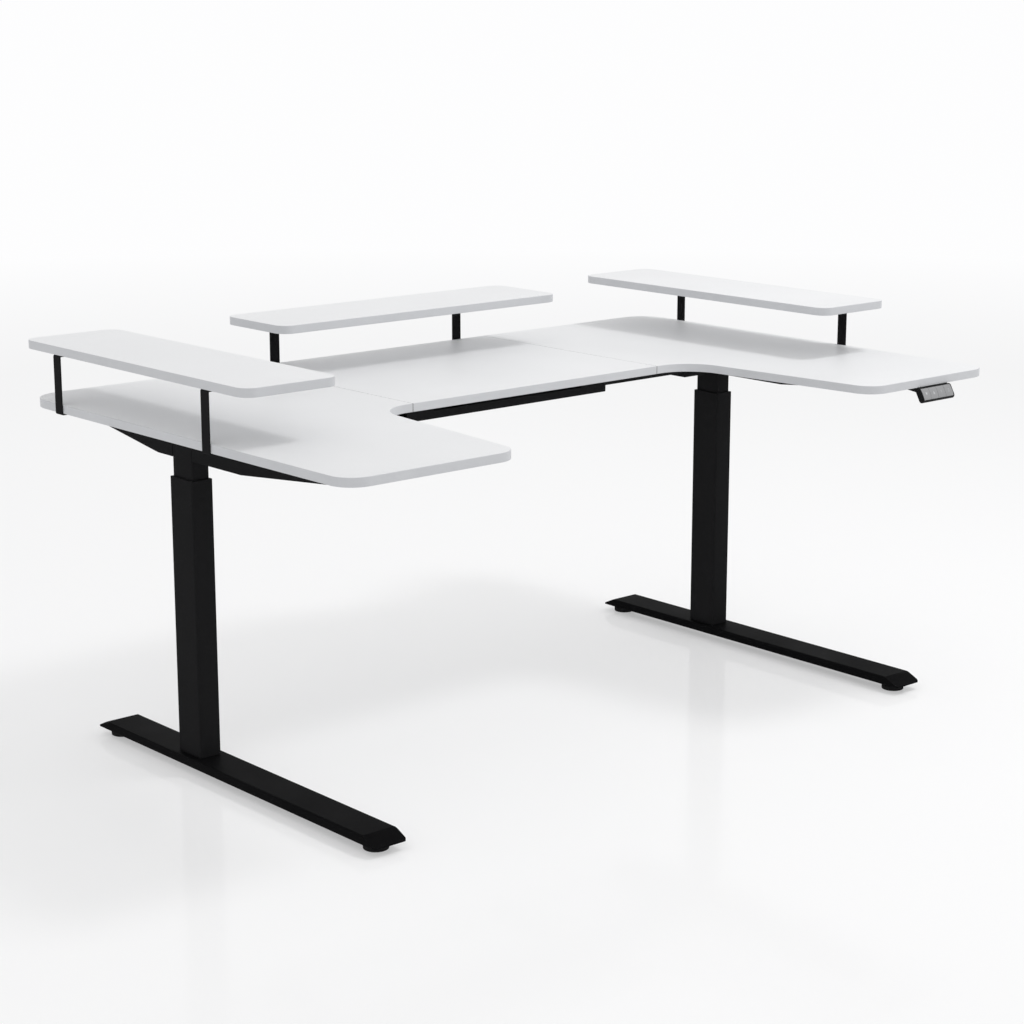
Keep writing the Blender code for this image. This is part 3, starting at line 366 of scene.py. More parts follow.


# %% [markdown]
# White melamine is a printed paper under clear resin, pressed with a matt plate. It scatters light
# almost evenly, and a very fine, shallow grain breaks up the highlight. The edge band is plastic,
# smoother, and glued on in one strip. Its colour is painted a touch darker than the top, as painted
# shade on the sides of the boards.

# %% White board and its edge band
# Painted seam shadow: the edge finish turns dark within this distance of each seam.
SEAM_SHADOW_REACH = 0.0007
SEAM_SHADOW_COLOUR = (0.03, 0.026, 0.022)
SEAM_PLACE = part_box("centre_board")[1][0]


def with_seam_shadow(made):
    """Darken a finish within a hair's breadth of the seams: a painted shadow in the seam gap.

    The distance from a seam is | |x| - seam place |.
    """
    tree = made.node_tree
    shader = tree.nodes["Principled BSDF"]
    clean = shader.inputs["Base Color"].links[0].from_socket
    place = tree.nodes.new("ShaderNodeSeparateXYZ")
    tree.links.new(tree.nodes["Texture Coordinate"].outputs["Object"], place.inputs["Vector"])
    value = place.outputs["X"]
    value = computed(tree, "SUBTRACT", computed(tree, "ABSOLUTE", value), SEAM_PLACE)
    value = computed(tree, "LESS_THAN", computed(tree, "ABSOLUTE", value), SEAM_SHADOW_REACH)
    dark = tinted(tree, value, (0, 0, 0), SEAM_SHADOW_COLOUR)
    mix = dark.node
    tree.links.new(clean, mix.inputs["A"])
    tree.links.new(dark, shader.inputs["Base Color"])
    return made


def band(name):
    """Plastic edge strip, painted darker than the top as painted shade on the board's sides."""
    return plain_finish(
        name, (0.605, 0.615, 0.635), (0.635, 0.645, 0.665), (0.34, 0.42), 900, 0.00002, cloud=14,
        level=0.3,
    )


melamine = plain_finish(
    "white_melamine", (0.765, 0.77, 0.78), (0.80, 0.805, 0.815), (0.42, 0.52), 2200, 0.00004, cloud=3,
    level=0.3,
)
# The edge band is painted darker than the top: painted shade on the sides.
edge_band = band("white_edge_band")
# The seam edges take the band with a painted shadow along each seam.
seam_shadow_band = with_seam_shadow(band("white_edge_band_at_seams"))
print("board finishes:", melamine.name, edge_band.name)

# %% [markdown]
# Powder coat is baked on as dust, so its surface is a fine orange peel with rare dull specks. It
# is nearly black, yet its satin gloss picks up the pale room as a soft grey sheen.

# %% Black powder-coated steel
def powder_coat(name, dark, light):
    """Near black with two scales of relief: a wavy flow of 3 mm and a peel of under 1 mm."""
    made, tree, shader, coordinates = finish(name, level=0.012)
    slow = noise(tree, coordinates, scale=5.0, detail=3.0)
    wave = noise(tree, coordinates, scale=330.0, detail=1.0)
    peel = noise(tree, coordinates, scale=1500.0, detail=2.0)
    speck = noise(tree, coordinates, scale=700.0, detail=0.0)
    base = tinted(tree, spread(tree, speck, 0, 1, start=0.62, end=0.80), dark, light)
    tree.links.new(base, shader.inputs["Base Color"])
    tree.links.new(spread(tree, slow, 0.46, 0.58), shader.inputs["Roughness"])
    lower = relief(tree, wave, depth=0.00006, strength=0.6)
    upper = relief(tree, peel, depth=0.00004, strength=0.8, under=lower)
    tree.links.new(upper, shader.inputs["Normal"])
    return made


black_steel = powder_coat("black_powder_coat", (0.0140, 0.0140, 0.0147), (0.021, 0.021, 0.0218))
# Painted shade: the feet take a darker copy of the same powder coat than the rest of the steel.
foot_steel_painted_darker = powder_coat("black_powder_coat_of_feet", (0.0050, 0.0050, 0.0054), (0.0095, 0.0095, 0.010))
black_plastic = plain_finish(
    "black_moulded_plastic", (0.007, 0.007, 0.0075), (0.011, 0.011, 0.0116), (0.44, 0.56), 1800, 0.00008,
    level=0.08,
)
black_rubber = plain_finish(
    "black_glide_rubber", (0.010, 0.010, 0.0105), (0.016, 0.016, 0.0165), (0.60, 0.74), 900, 0.00010,
    level=0.12,
)
key_grey = plain_finish(
    "grey_key_plastic", (0.27, 0.272, 0.278), (0.31, 0.312, 0.318), (0.24, 0.32), 2600, 0.00002
)
key_mark = plain_finish("pale_key_print", (0.48, 0.49, 0.50), (0.53, 0.54, 0.55), (0.5, 0.6), 2000, 0.00001)

# %% [markdown]
# Inside the columns the parts are bare or plated: zinc with its faint crystal pattern, rolled steel
# under a film of oil, a turned brass nut and a natural nylon slider.

# %% Plated metal, brass and nylon
zinc = plain_finish(
    "zinc_plating", (0.42, 0.43, 0.44), (0.52, 0.53, 0.54), (0.28, 0.44), 260, 0.00002,
    metallic=1.0, cloud=120,
)
thread_steel = plain_finish(
    "rolled_steel", (0.48, 0.48, 0.47), (0.58, 0.58, 0.57), (0.20, 0.36), 900, 0.00002,
    metallic=1.0, cloud=60,
)
nut_brass = plain_finish(
    "turned_brass", (0.56, 0.39, 0.15), (0.64, 0.46, 0.19), (0.24, 0.36), 1200, 0.00002, metallic=1.0
)
nylon = plain_finish("natural_nylon", (0.66, 0.66, 0.61), (0.72, 0.72, 0.68), (0.42, 0.50), 700, 0.00003)

FINISHES = {
    "white_board": melamine, "black_steel": black_steel, "black_plastic": black_plastic,
    "grey_plastic": key_grey, "zinc_steel": zinc, "bright_steel": thread_steel, "brass": nut_brass,
    "nylon": nylon,
}
slots = {entry["node"]: entry["material_slot"] for entry in frame["record"]["subparts"]}
for name, node in nodes.items():
    for place in node.material_slots:
        place.material = FINISHES[slots[name]]
print("nodes with a finish:", len(slots))

# %% [markdown]
# ## The three boards of the top
# The top is cut from 18 mm board. Each wing has one long curve on its inner side and butts against
# the centre board at a straight seam. The banded edges have a rounded arris of a little over a
# millimetre. The seam edges stay almost square, so each seam shows as a thin line and not as a
# groove; that line is painted shadow in the edge finish. A slab with a quarter round up its edge
# gives the shape from one flat outline.

# %% Wing boards and centre board
ARRIS = 0.0012
SEAM_SHARE = 0.2
SEAM_RUN = 0.002
ON_SEAM = 0.000001
TIP_RADIUS = 0.050
BACK_RADIUS = 0.070
CURVE_RADIUS = 0.092
WING_ROOT = 0.4485
WING_TIP = 0.500
BOARD_FINISHES = (melamine, seam_shadow_band)
SHELF_FINISHES = (melamine, edge_band)

centre_low, centre_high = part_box("centre_board")


def seam_ease(seam):
    """A function that gives outline points on the seam a small share of the arris."""
    return lambda points: np.where(np.abs(np.abs(points[:, 0]) - seam) < ON_SEAM, SEAM_SHARE, 1.0)


def wing(side, sign):
    """A wing: seam, back edge, round back corner, side, two round front corners, inner curve."""
    node = side + "_wing_board"
    low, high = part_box(node)
    seam, edge = sorted((abs(low[0]), abs(high[0])))
    back, front, middle = high[1], low[1], centre_low[1]
    corners = [
        (seam, middle), (seam, back), (seam + SEAM_RUN, back), (edge, back, BACK_RADIUS),
        (edge, front, TIP_RADIUS), (WING_TIP, front, TIP_RADIUS), (WING_ROOT, middle, CURVE_RADIUS),
        (seam + SEAM_RUN, middle),
    ]
    points = outline([(sign * corner[0], *corner[1:]) for corner in corners], steps=20)
    made = slab("white_" + node, points, low[2], high[2], ARRIS, BOARD_FINISHES, ease=seam_ease(seam))
    return ride_for(made, node)


wings = [wing("left", -1), wing("right", 1)]
seam = centre_high[0]
front, back = centre_low[1], centre_high[1]
corners = [
    (-seam, front), (-seam + SEAM_RUN, front), (seam - SEAM_RUN, front), (seam, front),
    (seam, back), (seam - SEAM_RUN, back), (-seam + SEAM_RUN, back), (-seam, back),
]
centre = slab("white_centre_board", outline(corners), centre_low[2], centre_high[2], ARRIS,
              BOARD_FINISHES, ease=seam_ease(seam))
ride_for(centre, "centre_board")
print("faces in a wing:", len(wings[0].data.polygons))

# %% [markdown]
# ## Raised shelves
# Each shelf is the same 800 x 220 mm board with four rounded corners. Its outer edge covers the
# straps that carry it.

# %% Three shelves
SHELF_RADIUS = 0.030
for where in ("left", "rear", "right"):
    node = where + "_shelf"
    low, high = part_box(node)
    points = outline(box_corners(low[:2], high[:2], SHELF_RADIUS), steps=14)
    made = slab("white_" + node, points, low[2], high[2], ARRIS, SHELF_FINISHES)
    ride_for(made, node)
    print(node, "stands", round(1000 * (low[2] - centre_high[2])), "mm above the top")

# %% [markdown]
# ## Bent straps
# A strap is a flat steel bar, bent twice into a C. Drawn from its side it is one outline with a
# small radius inside each bend and that radius plus the bar's thickness outside. Giving the outline
# the bar's width makes the strap.

# %% Six straps
STRAP = 0.003
STRAP_BEND = 0.001
STRAP_FOOT = 0.0633
STRAP_ARRIS = 0.0004


def strap(node):
    """The C outline in the strap's own plane, from the low and high corners of the node."""
    low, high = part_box(node)
    rear = node.startswith("rear")
    across = 1 if rear else 0
    near, far = low[across], high[across]
    outer, reach = (far, near) if rear or node.startswith("right") else (near, far)
    inward = 1 if reach > outer else -1
    foot = outer + inward * STRAP_FOOT
    bend = STRAP_BEND + STRAP
    corners = [
        (reach, high[2]), (outer, high[2], bend), (outer, low[2], bend), (foot, low[2]),
        (foot, low[2] + STRAP), (outer + inward * STRAP, low[2] + STRAP, STRAP_BEND),
        (outer + inward * STRAP, high[2] - STRAP, STRAP_BEND), (reach, high[2] - STRAP),
    ]
    plane, along = ("YZ", 0) if rear else ("XZ", 1)
    made = slab("bent_" + node, outline(corners, steps=8), low[along], high[along], STRAP_ARRIS,
                (black_steel,), plane)
    return ride_for(made, node)


straps = [name for name in nodes if name.endswith("_strap")]
for node in straps:
    strap(node)
print("straps:", len(straps))

# %% [markdown]
# ## Folded and welded steel
# The feet, brackets, rails, covers and the tray already have their true shape in the frame. What
# they lack is the soft edge that every coated steel part has. A copy of each mesh is merged, its
# flat areas are joined, and the sharp edges are rounded by a fraction of a millimetre. The feet
# also get round upright corners.

# %% Soften the edges of a frame piece
FOOT_CORNER = 0.008
FOOT_EDGE = 0.0006
THIN_EDGE = 0.0003
BEVEL_ANGLE = 48.0
SAME_POINT = 0.00001
FLAT_ANGLE = math.radians(1)


def trim_corners(shape, low, high, radius, steps=6):
    """Cut the four upright corners of a shape round, by planes that touch each corner's arc.

    A plane with the normal (cos a, sin a) touches the arc at centre + radius (cos a, sin a).
    A face closes each cut.
    """
    for turn in range(4 * steps):
        corner = turn // steps
        way = np.array([1 if corner in (0, 3) else -1, 1 if corner < 2 else -1])
        centre = np.where(way > 0, high[:2], low[:2]) - way * radius
        angle = math.pi / 2 * (turn % steps + 0.5) / steps
        normal = way * [math.cos(angle), math.sin(angle)]
        touch = centre + radius * normal
        everything = shape.verts[:] + shape.edges[:] + shape.faces[:]
        cut = bmesh.ops.bisect_plane(
            shape, geom=everything, plane_co=(*touch, 0), plane_no=(*normal, 0), clear_outer=True
        )
        rim = [part for part in cut["geom_cut"] if isinstance(part, bmesh.types.BMEdge)]
        bmesh.ops.edgenet_fill(shape, edges=rim)
    bmesh.ops.recalc_face_normals(shape, faces=shape.faces)


def softened(node, width, prefix="coated_", coat=None, corner=0):
    """A copy of a node whose edges that turn by more than the bevel angle have a small round."""
    shape = bmesh.new()
    shape.from_mesh(nodes[node].data)
    bmesh.ops.remove_doubles(shape, verts=shape.verts, dist=SAME_POINT)
    if corner:
        trim_corners(shape, *(np.array(spot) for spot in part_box(node)), corner)
    bmesh.ops.dissolve_limit(shape, angle_limit=FLAT_ANGLE, verts=shape.verts, edges=shape.edges)
    limit = math.radians(BEVEL_ANGLE)
    edges = [edge for edge in shape.edges if edge.is_manifold and edge.calc_face_angle() > limit]
    bmesh.ops.bevel(
        shape, geom=edges, offset=width, offset_type="OFFSET", segments=2, profile=0.5,
        affect="EDGES", clamp_overlap=True,
    )
    mesh = bpy.data.meshes.new(prefix + node)
    shape.to_mesh(mesh)
    shape.free()
    made = shown(prefix + node, mesh, (coat or FINISHES[slots[node]],))
    return ride_for(made, node)


SOFT_EDGES = {
    "side_bracket": 0.0004, "rail_bracket": 0.0004, "motor_cover": 0.0002,
    "inner_column": 0.0003, "outer_column": 0.0004, "front_seam_plate": 0.0004,
    "rear_seam_plate": 0.0004, "column_collar": 0.0004, "column_slider": 0.0003,
    "foot_plate": 0.0005, "push_tube": 0.0003, "spindle_nut": 0.0005, "gear_motor": 0.0006,
}
for side in ("left", "right"):
    for part, width in SOFT_EDGES.items():
        softened(f"{side}_{part}", width)
    # The feet wear the darker copy of the powder coat, as painted shade.
    softened(side + "_foot", FOOT_EDGE, coat=foot_steel_painted_darker, corner=FOOT_CORNER)
for node in ("front_rail", "rear_rail", "cable_tray"):
    softened(node, THIN_EDGE)
softened("control_box", THIN_EDGE, "moulded_")

# %% [markdown]
# ## Lifting spindles
# Inside each leg a rolled spindle hangs from the gear motor and turns in a brass nut on top of
# the push tube. Its thread is a helix, so the surface is worked out over height and angle at once:
# where one goes up by a lead, the wave comes round by a full turn. It has four starts, so its
# ridges are 4 mm apart and each climbs the 16 mm a turn that the coupling of the lift stands for.

# %% Two threaded spindles
SPINDLE_LEAD = 0.016
SPINDLE_STARTS = 4
SPINDLE_DEPTH = 0.0011
SPINDLE_ANGLES = 48
for side in ("left", "right"):
    node = side + "_spindle"
    low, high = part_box(node)
    radius = (high[0] - low[0]) / 2
    radii, heights = thread(radius, SPINDLE_DEPTH, SPINDLE_LEAD, low[2], high[2], SPINDLE_ANGLES,
                            starts=SPINDLE_STARTS)
    made = turned("rolled_" + node, radii, heights, axis_of(node), (thread_steel,))
    ride_for(made, node)
print("turns of thread:", round((high[2] - low[2]) / SPINDLE_LEAD))

# %% [markdown]
# ## Levelling glides
# Each foot stands on two round glides. The rim of the disc has fine upright ribs, so fingers can
# wind it, and the stem is threaded. The ribs are a wave of the radius round the rim.

# %% Four ribbed glides
GLIDE_ANGLES = 144
GLIDE_RIBS = 48
RIB_DEPTH = 0.0008
GLIDE_RIM = 0.025
GLIDE_EDGE = 0.002
GLIDE_DISC = 0.011
GLIDE_NECK = 0.008
GLIDE_SHOULDER = 0.0167
GLIDE_STEM = 0.004
STEM_TOP = 0.031
STEM_DEPTH = 0.0005
STEM_PITCH = 0.00125
STEM_GAP = 0.0002
NECK_FLARE = 0.001
NECK_BEVEL = 0.0005
rib = RIB_DEPTH * (1 - np.cos(GLIDE_RIBS * circle_angles(GLIDE_ANGLES))) / 2
ease_turn = np.linspace(0, math.pi / 2, 4)
rim_low = [(GLIDE_RIM - GLIDE_EDGE * (1 - math.sin(t)), GLIDE_EDGE * (1 - math.cos(t)))
           for t in ease_turn]
rim_high = [(r, GLIDE_DISC - h) for r, h in rim_low[::-1]]
disc = np.array(rim_low + rim_high)
stem, stem_height = thread(GLIDE_STEM, STEM_DEPTH, STEM_PITCH, GLIDE_SHOULDER + STEM_GAP, STEM_TOP,
                           GLIDE_ANGLES)
neck = [GLIDE_NECK + NECK_FLARE, GLIDE_NECK, GLIDE_NECK, GLIDE_NECK - NECK_BEVEL]
neck_height = [GLIDE_DISC, GLIDE_DISC + NECK_FLARE, GLIDE_SHOULDER - NECK_BEVEL, GLIDE_SHOULDER]
radii = np.concatenate([disc[:, :1] - rib, rings(neck, GLIDE_ANGLES), stem])
heights = np.concatenate([disc[:, 1], neck_height, stem_height])
for node in [name for name in nodes if name.endswith("_glide")]:
    made = turned("ribbed_" + node, radii, heights, axis_of(node), (black_rubber,))
    ride_for(made, node)
print("rows of a glide:", len(heights))

# %% [markdown]
# ## Handset
# The control is a moulded bar with four wide keys that stand side by side with narrow dark gaps.
# Each key has a domed face. Its section is one outline whose outer side is half of a flat ellipse, and
# giving it the key's width makes the key. The marks are raised prints: an arrow down, an arrow up
# and the numbers one and two.

# %% Housing and keys
HOUSING_EDGE = 0.0007
KEY_HALF = 0.0135
KEY_BACK = 0.0020
KEY_EDGE = 0.0052
KEY_CROWN = 0.0076
KEY_ROUND = 0.0006
BAR_TILT = math.radians(29.0)
BAR_SETBACK = 0.008
BAR_DROP = 0.0165
BAR_CENTRE = np.array([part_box("left_wing_board")[0][1] - BAR_SETBACK, centre_low[2] - BAR_DROP])
BAR_DOWN = np.array([-math.sin(BAR_TILT), -math.cos(BAR_TILT)])
BAR_OUT = np.array([-math.cos(BAR_TILT), math.sin(BAR_TILT)])
softened("handset_housing", HOUSING_EDGE, "moulded_")


def on_bar(along, out):
    """Points of the tilted bar's section: along its face, and out of it."""
    return BAR_CENTRE + np.outer(along, BAR_DOWN) + np.outer(out, BAR_OUT)


def dome(along):
    """Height of a key's face, half an ellipse: edge + (crown - edge) sqrt(1 - (along / half)^2)."""
    share = np.clip(np.asarray(along) / KEY_HALF, -1, 1)
    return KEY_EDGE + (KEY_CROWN - KEY_EDGE) * np.sqrt(1 - share ** 2)


KEYS = ("down_key", "up_key", "memory_one_key", "memory_two_key")
along = KEY_HALF * np.cos(np.linspace(0, math.pi, 33))
key_back = on_bar([-KEY_HALF, KEY_HALF], [KEY_BACK, KEY_BACK])
section = np.concatenate([key_back, on_bar(along, dome(along))])
for node in KEYS:
    low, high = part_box(node)
    made = slab("domed_" + node, section, low[0], high[0], KEY_ROUND, (key_grey,), "YZ")
    ride_for(made, node)
print("keys:", len(KEYS))

# %% Marks on the keys
MARK_WIDTH = 0.00045
MARK_REACH = 0.0032
MARK_POINTS = 9
ARROW_HALF = 0.0034
ARROW_TIP = 0.0003
MARK_LIFT = 0.00007


def stroke(path, widths, middle):
    """Rows of four points along a flat stroke on a key's face, and how many rows there are.

    The path holds (across, up) points about the middle of the key. Each row steps to both sides
    by the half width along the path's normal, once on the face and once just under it.
    """
    path = np.asarray(path, float)
    widths = np.broadcast_to(widths, len(path))[:, None]
    run = np.gradient(path, axis=0)
    normal = np.stack([-run[:, 1], run[:, 0]], 1) / np.linalg.norm(run, axis=1)[:, None]
    rows = []
    for flat, lift in ((path - normal * widths, -MARK_LIFT), (path - normal * widths, MARK_LIFT),
                       (path + normal * widths, MARK_LIFT), (path + normal * widths, -MARK_LIFT)):
        spot = on_bar(-flat[:, 1], dome(flat[:, 1]) + lift)
        rows.append(np.column_stack([middle + flat[:, 0], spot]))
    return np.stack(rows, 1).reshape(-1, 3), len(path)


def mark(node, strokes):
    """One print made of strokes, riding on its key."""
    low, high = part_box(node)
    middle = (low[0] + high[0]) / 2
    points, faces = [], []
    for path, widths in strokes:
        first = sum(len(part) for part in points)
        part, rows = stroke(path, widths, middle)
        points.append(part)
        faces += [face[::-1] for face in grid_faces(rows, 4, first)]
        last = first + 4 * (rows - 1)
        faces += [[first, first + 1, first + 2, first + 3], [last + 3, last + 2, last + 1, last]]
    made = piece("print_on_" + node, np.concatenate(points), faces, (key_mark,))
    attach(made, node)


rise = np.linspace(-MARK_REACH, MARK_REACH, MARK_POINTS)
arrow = np.column_stack([np.zeros(MARK_POINTS), rise])
narrowing = np.linspace(ARROW_HALF, ARROW_TIP, MARK_POINTS)
mark("up_key", [(arrow, narrowing)])
mark("down_key", [(-arrow, narrowing)])
one = [(-0.0012, 0.0020), (-0.0004, 0.0026), (0.0003, 0.0032), (0.0003, 0.0), (0.0003, -0.0032)]
bow = np.radians(np.linspace(170, -40, MARK_POINTS))
two = [(0.0017 * math.cos(a), 0.0015 + 0.0017 * math.sin(a)) for a in bow] + [(-0.0017, -0.0030)]
base_line = [(-0.0020, -0.0030), (0.0, -0.0030), (0.0020, -0.0030)]
mark("memory_one_key", [(one, MARK_WIDTH)])
mark("memory_two_key", [(two, MARK_WIDTH), (base_line, MARK_WIDTH)])
print("points in an arrow:", MARK_POINTS)

# %% [markdown]
# ## Screws and bolts
# Wood screws hold the steel to the boards from below, and bolts join steel to steel. A head is a
# turned shape. Its drive starts as a cross or a hexagon at the bottom of the recess, goes straight
# out to the face and meets the round rows there, so the recess is real and needs no cutting.

# %% Heads with a cross or a hexagon recess
DRIVE_ANGLES = 48
NO_ZERO = 1e-9
LIP = 1.08
RECESS_TAPER = 0.86
RECESS_FLOOR = 0.42
RECESS_STEP = 0.52
SHANK_STRAIGHT = 0.8
SHANK_TIP = 0.7


def cross(reach, arm):
    """Polar outline of a cross: the farther edge of two crossed bars, |cos| and |sin| apart."""
    angle = circle_angles(DRIVE_ANGLES)
    c, s = np.abs(np.cos(angle)) + NO_ZERO, np.abs(np.sin(angle)) + NO_ZERO
    return np.maximum(np.minimum(reach / c, arm / s), np.minimum(reach / s, arm / c))


def hexagon(half):
    """Polar outline of a hexagon: half its width over the cosine of the angle to a flat."""
    flat = (circle_angles(DRIVE_ANGLES) + math.pi / 6) % (math.pi / 3) - math.pi / 6
    return half / np.cos(flat)


def fasteners(name, body, places, head, tall, shank, reach, recess, slot, material, turn=UPRIGHT):
    """Screws whose pan heads hang below their places and whose shanks go up into the holes.

    Outside the recess the face is flat as far as a lip. From there a quarter of an ellipse leads
    to the rim: radius = lip + (head - lip) sin b and height = -tall cos b.
    """
    lip = LIP * recess.max()
    bend = np.linspace(0, math.pi / 2, 5)
    shoulder = list(lip + (head - lip) * np.sin(bend))
    shoulder_height = list(-tall * np.cos(bend))
    inner = np.stack([recess * RECESS_TAPER, recess, recess])
    inner_height = [-tall * RECESS_FLOOR, -tall * RECESS_STEP, -tall]
    ring = shoulder + [shank, shank, shank * SHANK_TIP]
    ring_height = shoulder_height + [0.0, reach * SHANK_STRAIGHT, reach]
    radii = np.concatenate([inner, rings(ring, DRIVE_ANGLES)])
    made = turned(name, radii, inner_height + ring_height, places, (material,), turn)
    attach(made, body)
    return len(places)


SCREW = {
    "head": 0.0038, "tall": 0.0022, "shank": 0.0021, "reach": 0.0027,
    "recess": cross(reach=0.0020, arm=0.0005), "slot": "zinc_steel", "material": zinc,
}
BOLT = {
    "head": 0.0052, "tall": 0.0030, "shank": 0.0028, "reach": 0.0018,
    "recess": hexagon(half=0.0020), "slot": "black_steel", "material": black_steel,
}


def screws(name, places):
    """Pan-head wood screws in plated steel with heads 7.6 mm wide."""
    return fasteners(name, "top", places, **SCREW)


def bolts(name, places, body, turn=UPRIGHT):
    """Black button-head bolts with a hexagon socket and shanks 5.6 mm thick."""
    return fasteners(name, body, places, turn=turn, **BOLT)


# %% Where they go
UNDER_STEEL = 0.7287
SHELF_STEEL = 0.8487
STRAP_OUTSIDE = 0.0033
STRAP_SCREWS = ((0.014, SHELF_STEEL), (0.066, SHELF_STEEL), (0.014, UNDER_STEEL), (0.046, UNDER_STEEL))
BRACKET_X, BRACKET_REAR, BRACKET_STEP, BRACKET_SCREWS = 0.7126, 0.468274, 0.208, 5
SEAM_X, SEAM_OFFSET = 0.3515, 0.021
SEAM_ROWS = (0.233774, 0.514274, 0.002274, 0.105774)
COLUMN_X, COLUMN_Y = 0.7556, 0.169774
FOOT_BOLT_X, FOOT_BOLT_Y, FOOT_BOLT_LEVEL = 0.012, 0.026, 0.035
TRAY_COLUMNS, TRAY_ROWS, TRAY_STEEL = (-0.276, -0.226, 0.226, 0.276), (0.065274, 0.117274), 0.7302
HANDSET_COLUMNS, HANDSET_Y, HANDSET_STEEL = (0.671, 0.734), -0.497726, 0.7295
RAIL_COLUMNS, RAIL_OUTSIDE, RAIL_BOLT_LEVEL = (-0.6013, -0.5613, 0.5613, 0.6013), 0.035, 0.7067
count = 0
for node in straps:
    low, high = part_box(node)
    rear = node.startswith("rear")
    inward = -1 if rear or node.startswith("right") else 1
    outer = (high[1] if rear else high[0]) if inward < 0 else low[0]
    spots = []
    for inset, level in STRAP_SCREWS:
        reach = outer + inward * (inset + STRAP_OUTSIDE)
        spots.append(((low[0] + high[0]) / 2, reach, level) if rear else
                     (reach, (low[1] + high[1]) / 2, level))
    count += screws(node + "_screws", spots)
for side, sign in (("left", -1), ("right", 1)):
    spots = [(sign * BRACKET_X, BRACKET_REAR - BRACKET_STEP * step, UNDER_STEEL)
             for step in range(BRACKET_SCREWS)]
    count += screws(side + "_bracket_screws", spots)
    spots = [(sign * (SEAM_X + offset), y, UNDER_STEEL) for offset in (-SEAM_OFFSET, SEAM_OFFSET)
             for y in SEAM_ROWS]
    count += screws(side + "_seam_screws", spots)
    spots = [(sign * COLUMN_X + i * FOOT_BOLT_X, COLUMN_Y + j * FOOT_BOLT_Y, FOOT_BOLT_LEVEL)
             for i in (-1, 1) for j in (-1, 1)]
    count += bolts(side + "_foot_bolts", spots, "base")
spots = [(x, y, TRAY_STEEL) for x in TRAY_COLUMNS for y in TRAY_ROWS]
count += screws("tray_screws", spots)
count += screws("handset_screws", [(x, HANDSET_Y, HANDSET_STEEL) for x in HANDSET_COLUMNS])
for end, way, turn in (("front", -1, TO_FRONT), ("rear", 1, TO_BACK)):
    spots = [(x, COLUMN_Y + way * RAIL_OUTSIDE, RAIL_BOLT_LEVEL) for x in RAIL_COLUMNS]
    count += bolts(end + "_rail_bolts", spots, "top", turn)
print("screws and bolts:", count)

# %% [markdown]
# ## Floor, lamp and camera
# The photograph has a bright sweep of floor with no horizon. A large pale floor and a pale world
# give that. The camera stands in front of the desk, to its left and 1.6 m above the floor, as
# solved from the straight edges in the photograph.

# %% Floor
FLOOR_SIZE = 60.0
FADE_START = 5.0
FADE_END = 9.0
NEAR_SHARE = 0.38
BACKDROP = (0.985, 0.985, 0.99, 1)
FLOOR_COLOUR = (0.975, 0.975, 0.978, 1)
FLOOR_ROUGHNESS = 0.10
FLOOR_LEVEL = 0.06


def seen_only(tree):
    """1 for camera, glossy and transmission rays, and 0 for the rays that carry soft light."""
    paths = tree.nodes.new("ShaderNodeLightPath")
    value = paths.outputs["Is Camera Ray"]
    for other in ("Is Glossy Ray", "Is Transmission Ray"):
        value = computed(tree, "MAXIMUM", value, paths.outputs[other])
    return value


def mixed_surface(tree, share, first, second, output):
    """Send two shaders to an output node, mixed by the share of the second."""
    mix = tree.nodes.new("ShaderNodeMixShader")
    tree.links.new(share, mix.inputs["Fac"])
    tree.links.new(first, mix.inputs[1])
    tree.links.new(second, mix.inputs[2])
    tree.links.new(mix.outputs["Shader"], tree.nodes[output].inputs["Surface"])


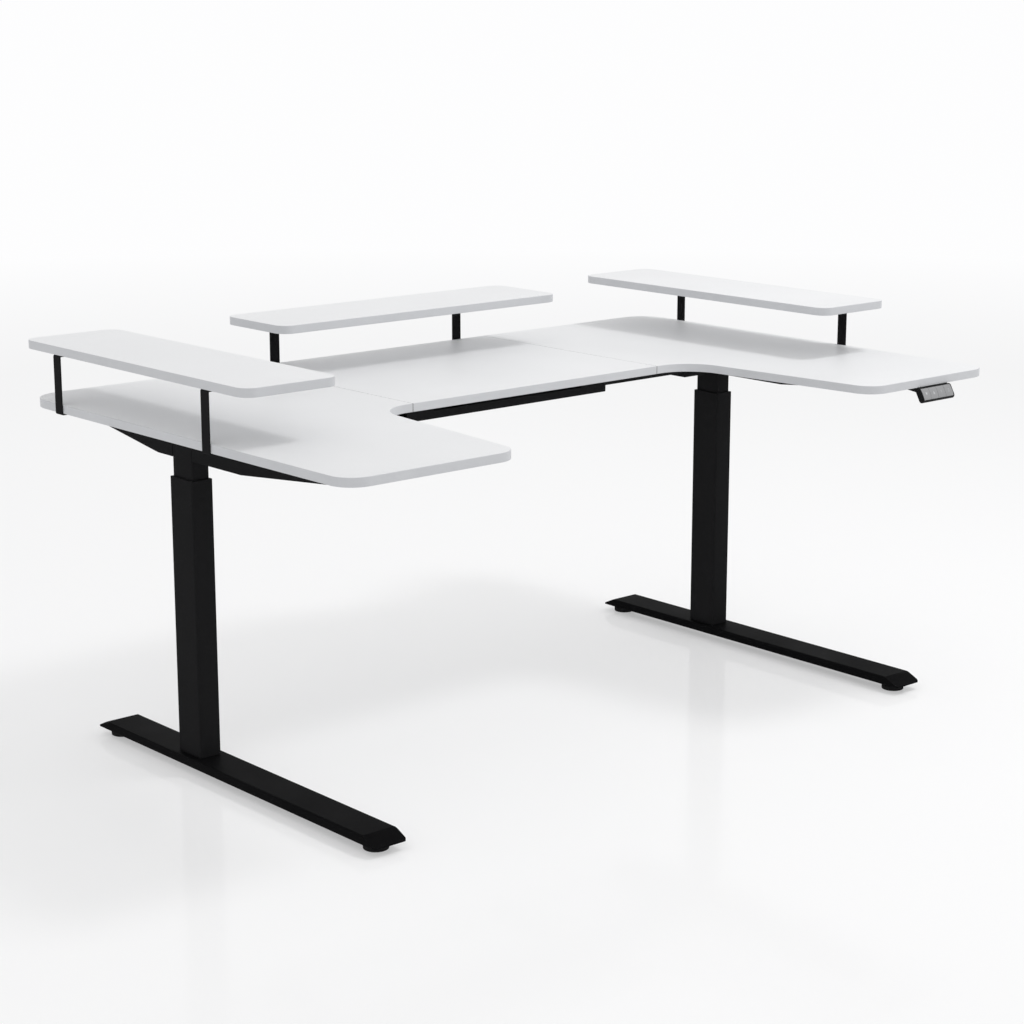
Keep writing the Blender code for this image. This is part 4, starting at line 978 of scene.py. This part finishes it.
half = FLOOR_SIZE / 2
floor_points = [(-half, -half, 0), (half, -half, 0), (half, half, 0), (-half, half, 0)]
floor_finish, floor_tree, floor_shader, floor_coordinates = finish("studio_floor", level=FLOOR_LEVEL)
floor_shader.inputs["Base Color"].default_value = FLOOR_COLOUR
floor_shader.inputs["Roughness"].default_value = FLOOR_ROUGHNESS
distance = floor_tree.nodes.new("ShaderNodeVectorMath")
distance.operation = "LENGTH"
floor_tree.links.new(floor_coordinates, distance.inputs[0])
away = spread(floor_tree, distance.outputs["Value"], NEAR_SHARE, 1, FADE_START, FADE_END)
share = computed(floor_tree, "MULTIPLY", away, seen_only(floor_tree))
glow = floor_tree.nodes.new("ShaderNodeEmission")
glow.inputs["Color"].default_value = BACKDROP
mixed_surface(floor_tree, share, floor_shader.outputs["BSDF"], glow.outputs["Emission"],
              "Material Output")
floor = piece("studio_floor", floor_points, [(0, 1, 2, 3)], (floor_finish,))
print("side of the floor in m:", FLOOR_SIZE)

# %% World and lamp
WORLD_STRENGTH = 0.80
LAMP_PLACE = (1.6, -1.3, 4.2)
LAMP_TARGET = (0.0, 0.1, 0.6)
LAMP_WIDTH = 0.9
LAMP_WATTS = 48

world = bpy.data.worlds.new("studio")
bpy.context.scene.world = world
world.use_nodes = True
light = world.node_tree
background = light.nodes["Background"]
background.inputs["Color"].default_value = (1.0, 1.0, 1.0, 1)
background.inputs["Strength"].default_value = WORLD_STRENGTH
white = light.nodes.new("ShaderNodeBackground")
white.inputs["Color"].default_value = BACKDROP
mixed_surface(light, seen_only(light), background.outputs["Background"],
              white.outputs["Background"], "World Output")

lamp_data = bpy.data.lights.new("key_lamp", "AREA")
lamp_data.size = LAMP_WIDTH
lamp_data.energy = LAMP_WATTS
lamp = bpy.data.objects.new("key_lamp", lamp_data)
lamp.location = LAMP_PLACE
aim = np.subtract(LAMP_PLACE, LAMP_TARGET)
tilt = math.atan2(math.hypot(aim[0], aim[1]), aim[2])
lamp.rotation_euler = (tilt, 0, math.atan2(aim[0], -aim[1]))
bpy.context.scene.collection.objects.link(lamp)
print("height of the lamp in m:", LAMP_PLACE[2])

# %% Camera
CAMERA_PLACE = (-3.2244, centre_high[1] - 4.1811, 1.5914)
CAMERA_YAW = 41.2693
CAMERA_PITCH = 13.1265
LENS = 80.0
SENSOR = 36.0
FAR = 200

camera_data = bpy.data.cameras.new("camera")
camera_data.lens = LENS
camera_data.sensor_width = SENSOR
camera_data.clip_end = FAR
camera = bpy.data.objects.new("camera", camera_data)
camera.location = CAMERA_PLACE
camera.rotation_euler = (math.radians(90 - CAMERA_PITCH), 0, math.radians(-CAMERA_YAW))
bpy.context.scene.collection.objects.link(camera)
bpy.context.scene.camera = camera
bpy.context.scene.view_settings.view_transform = "Standard"
print("height of the camera in m:", CAMERA_PLACE[2])
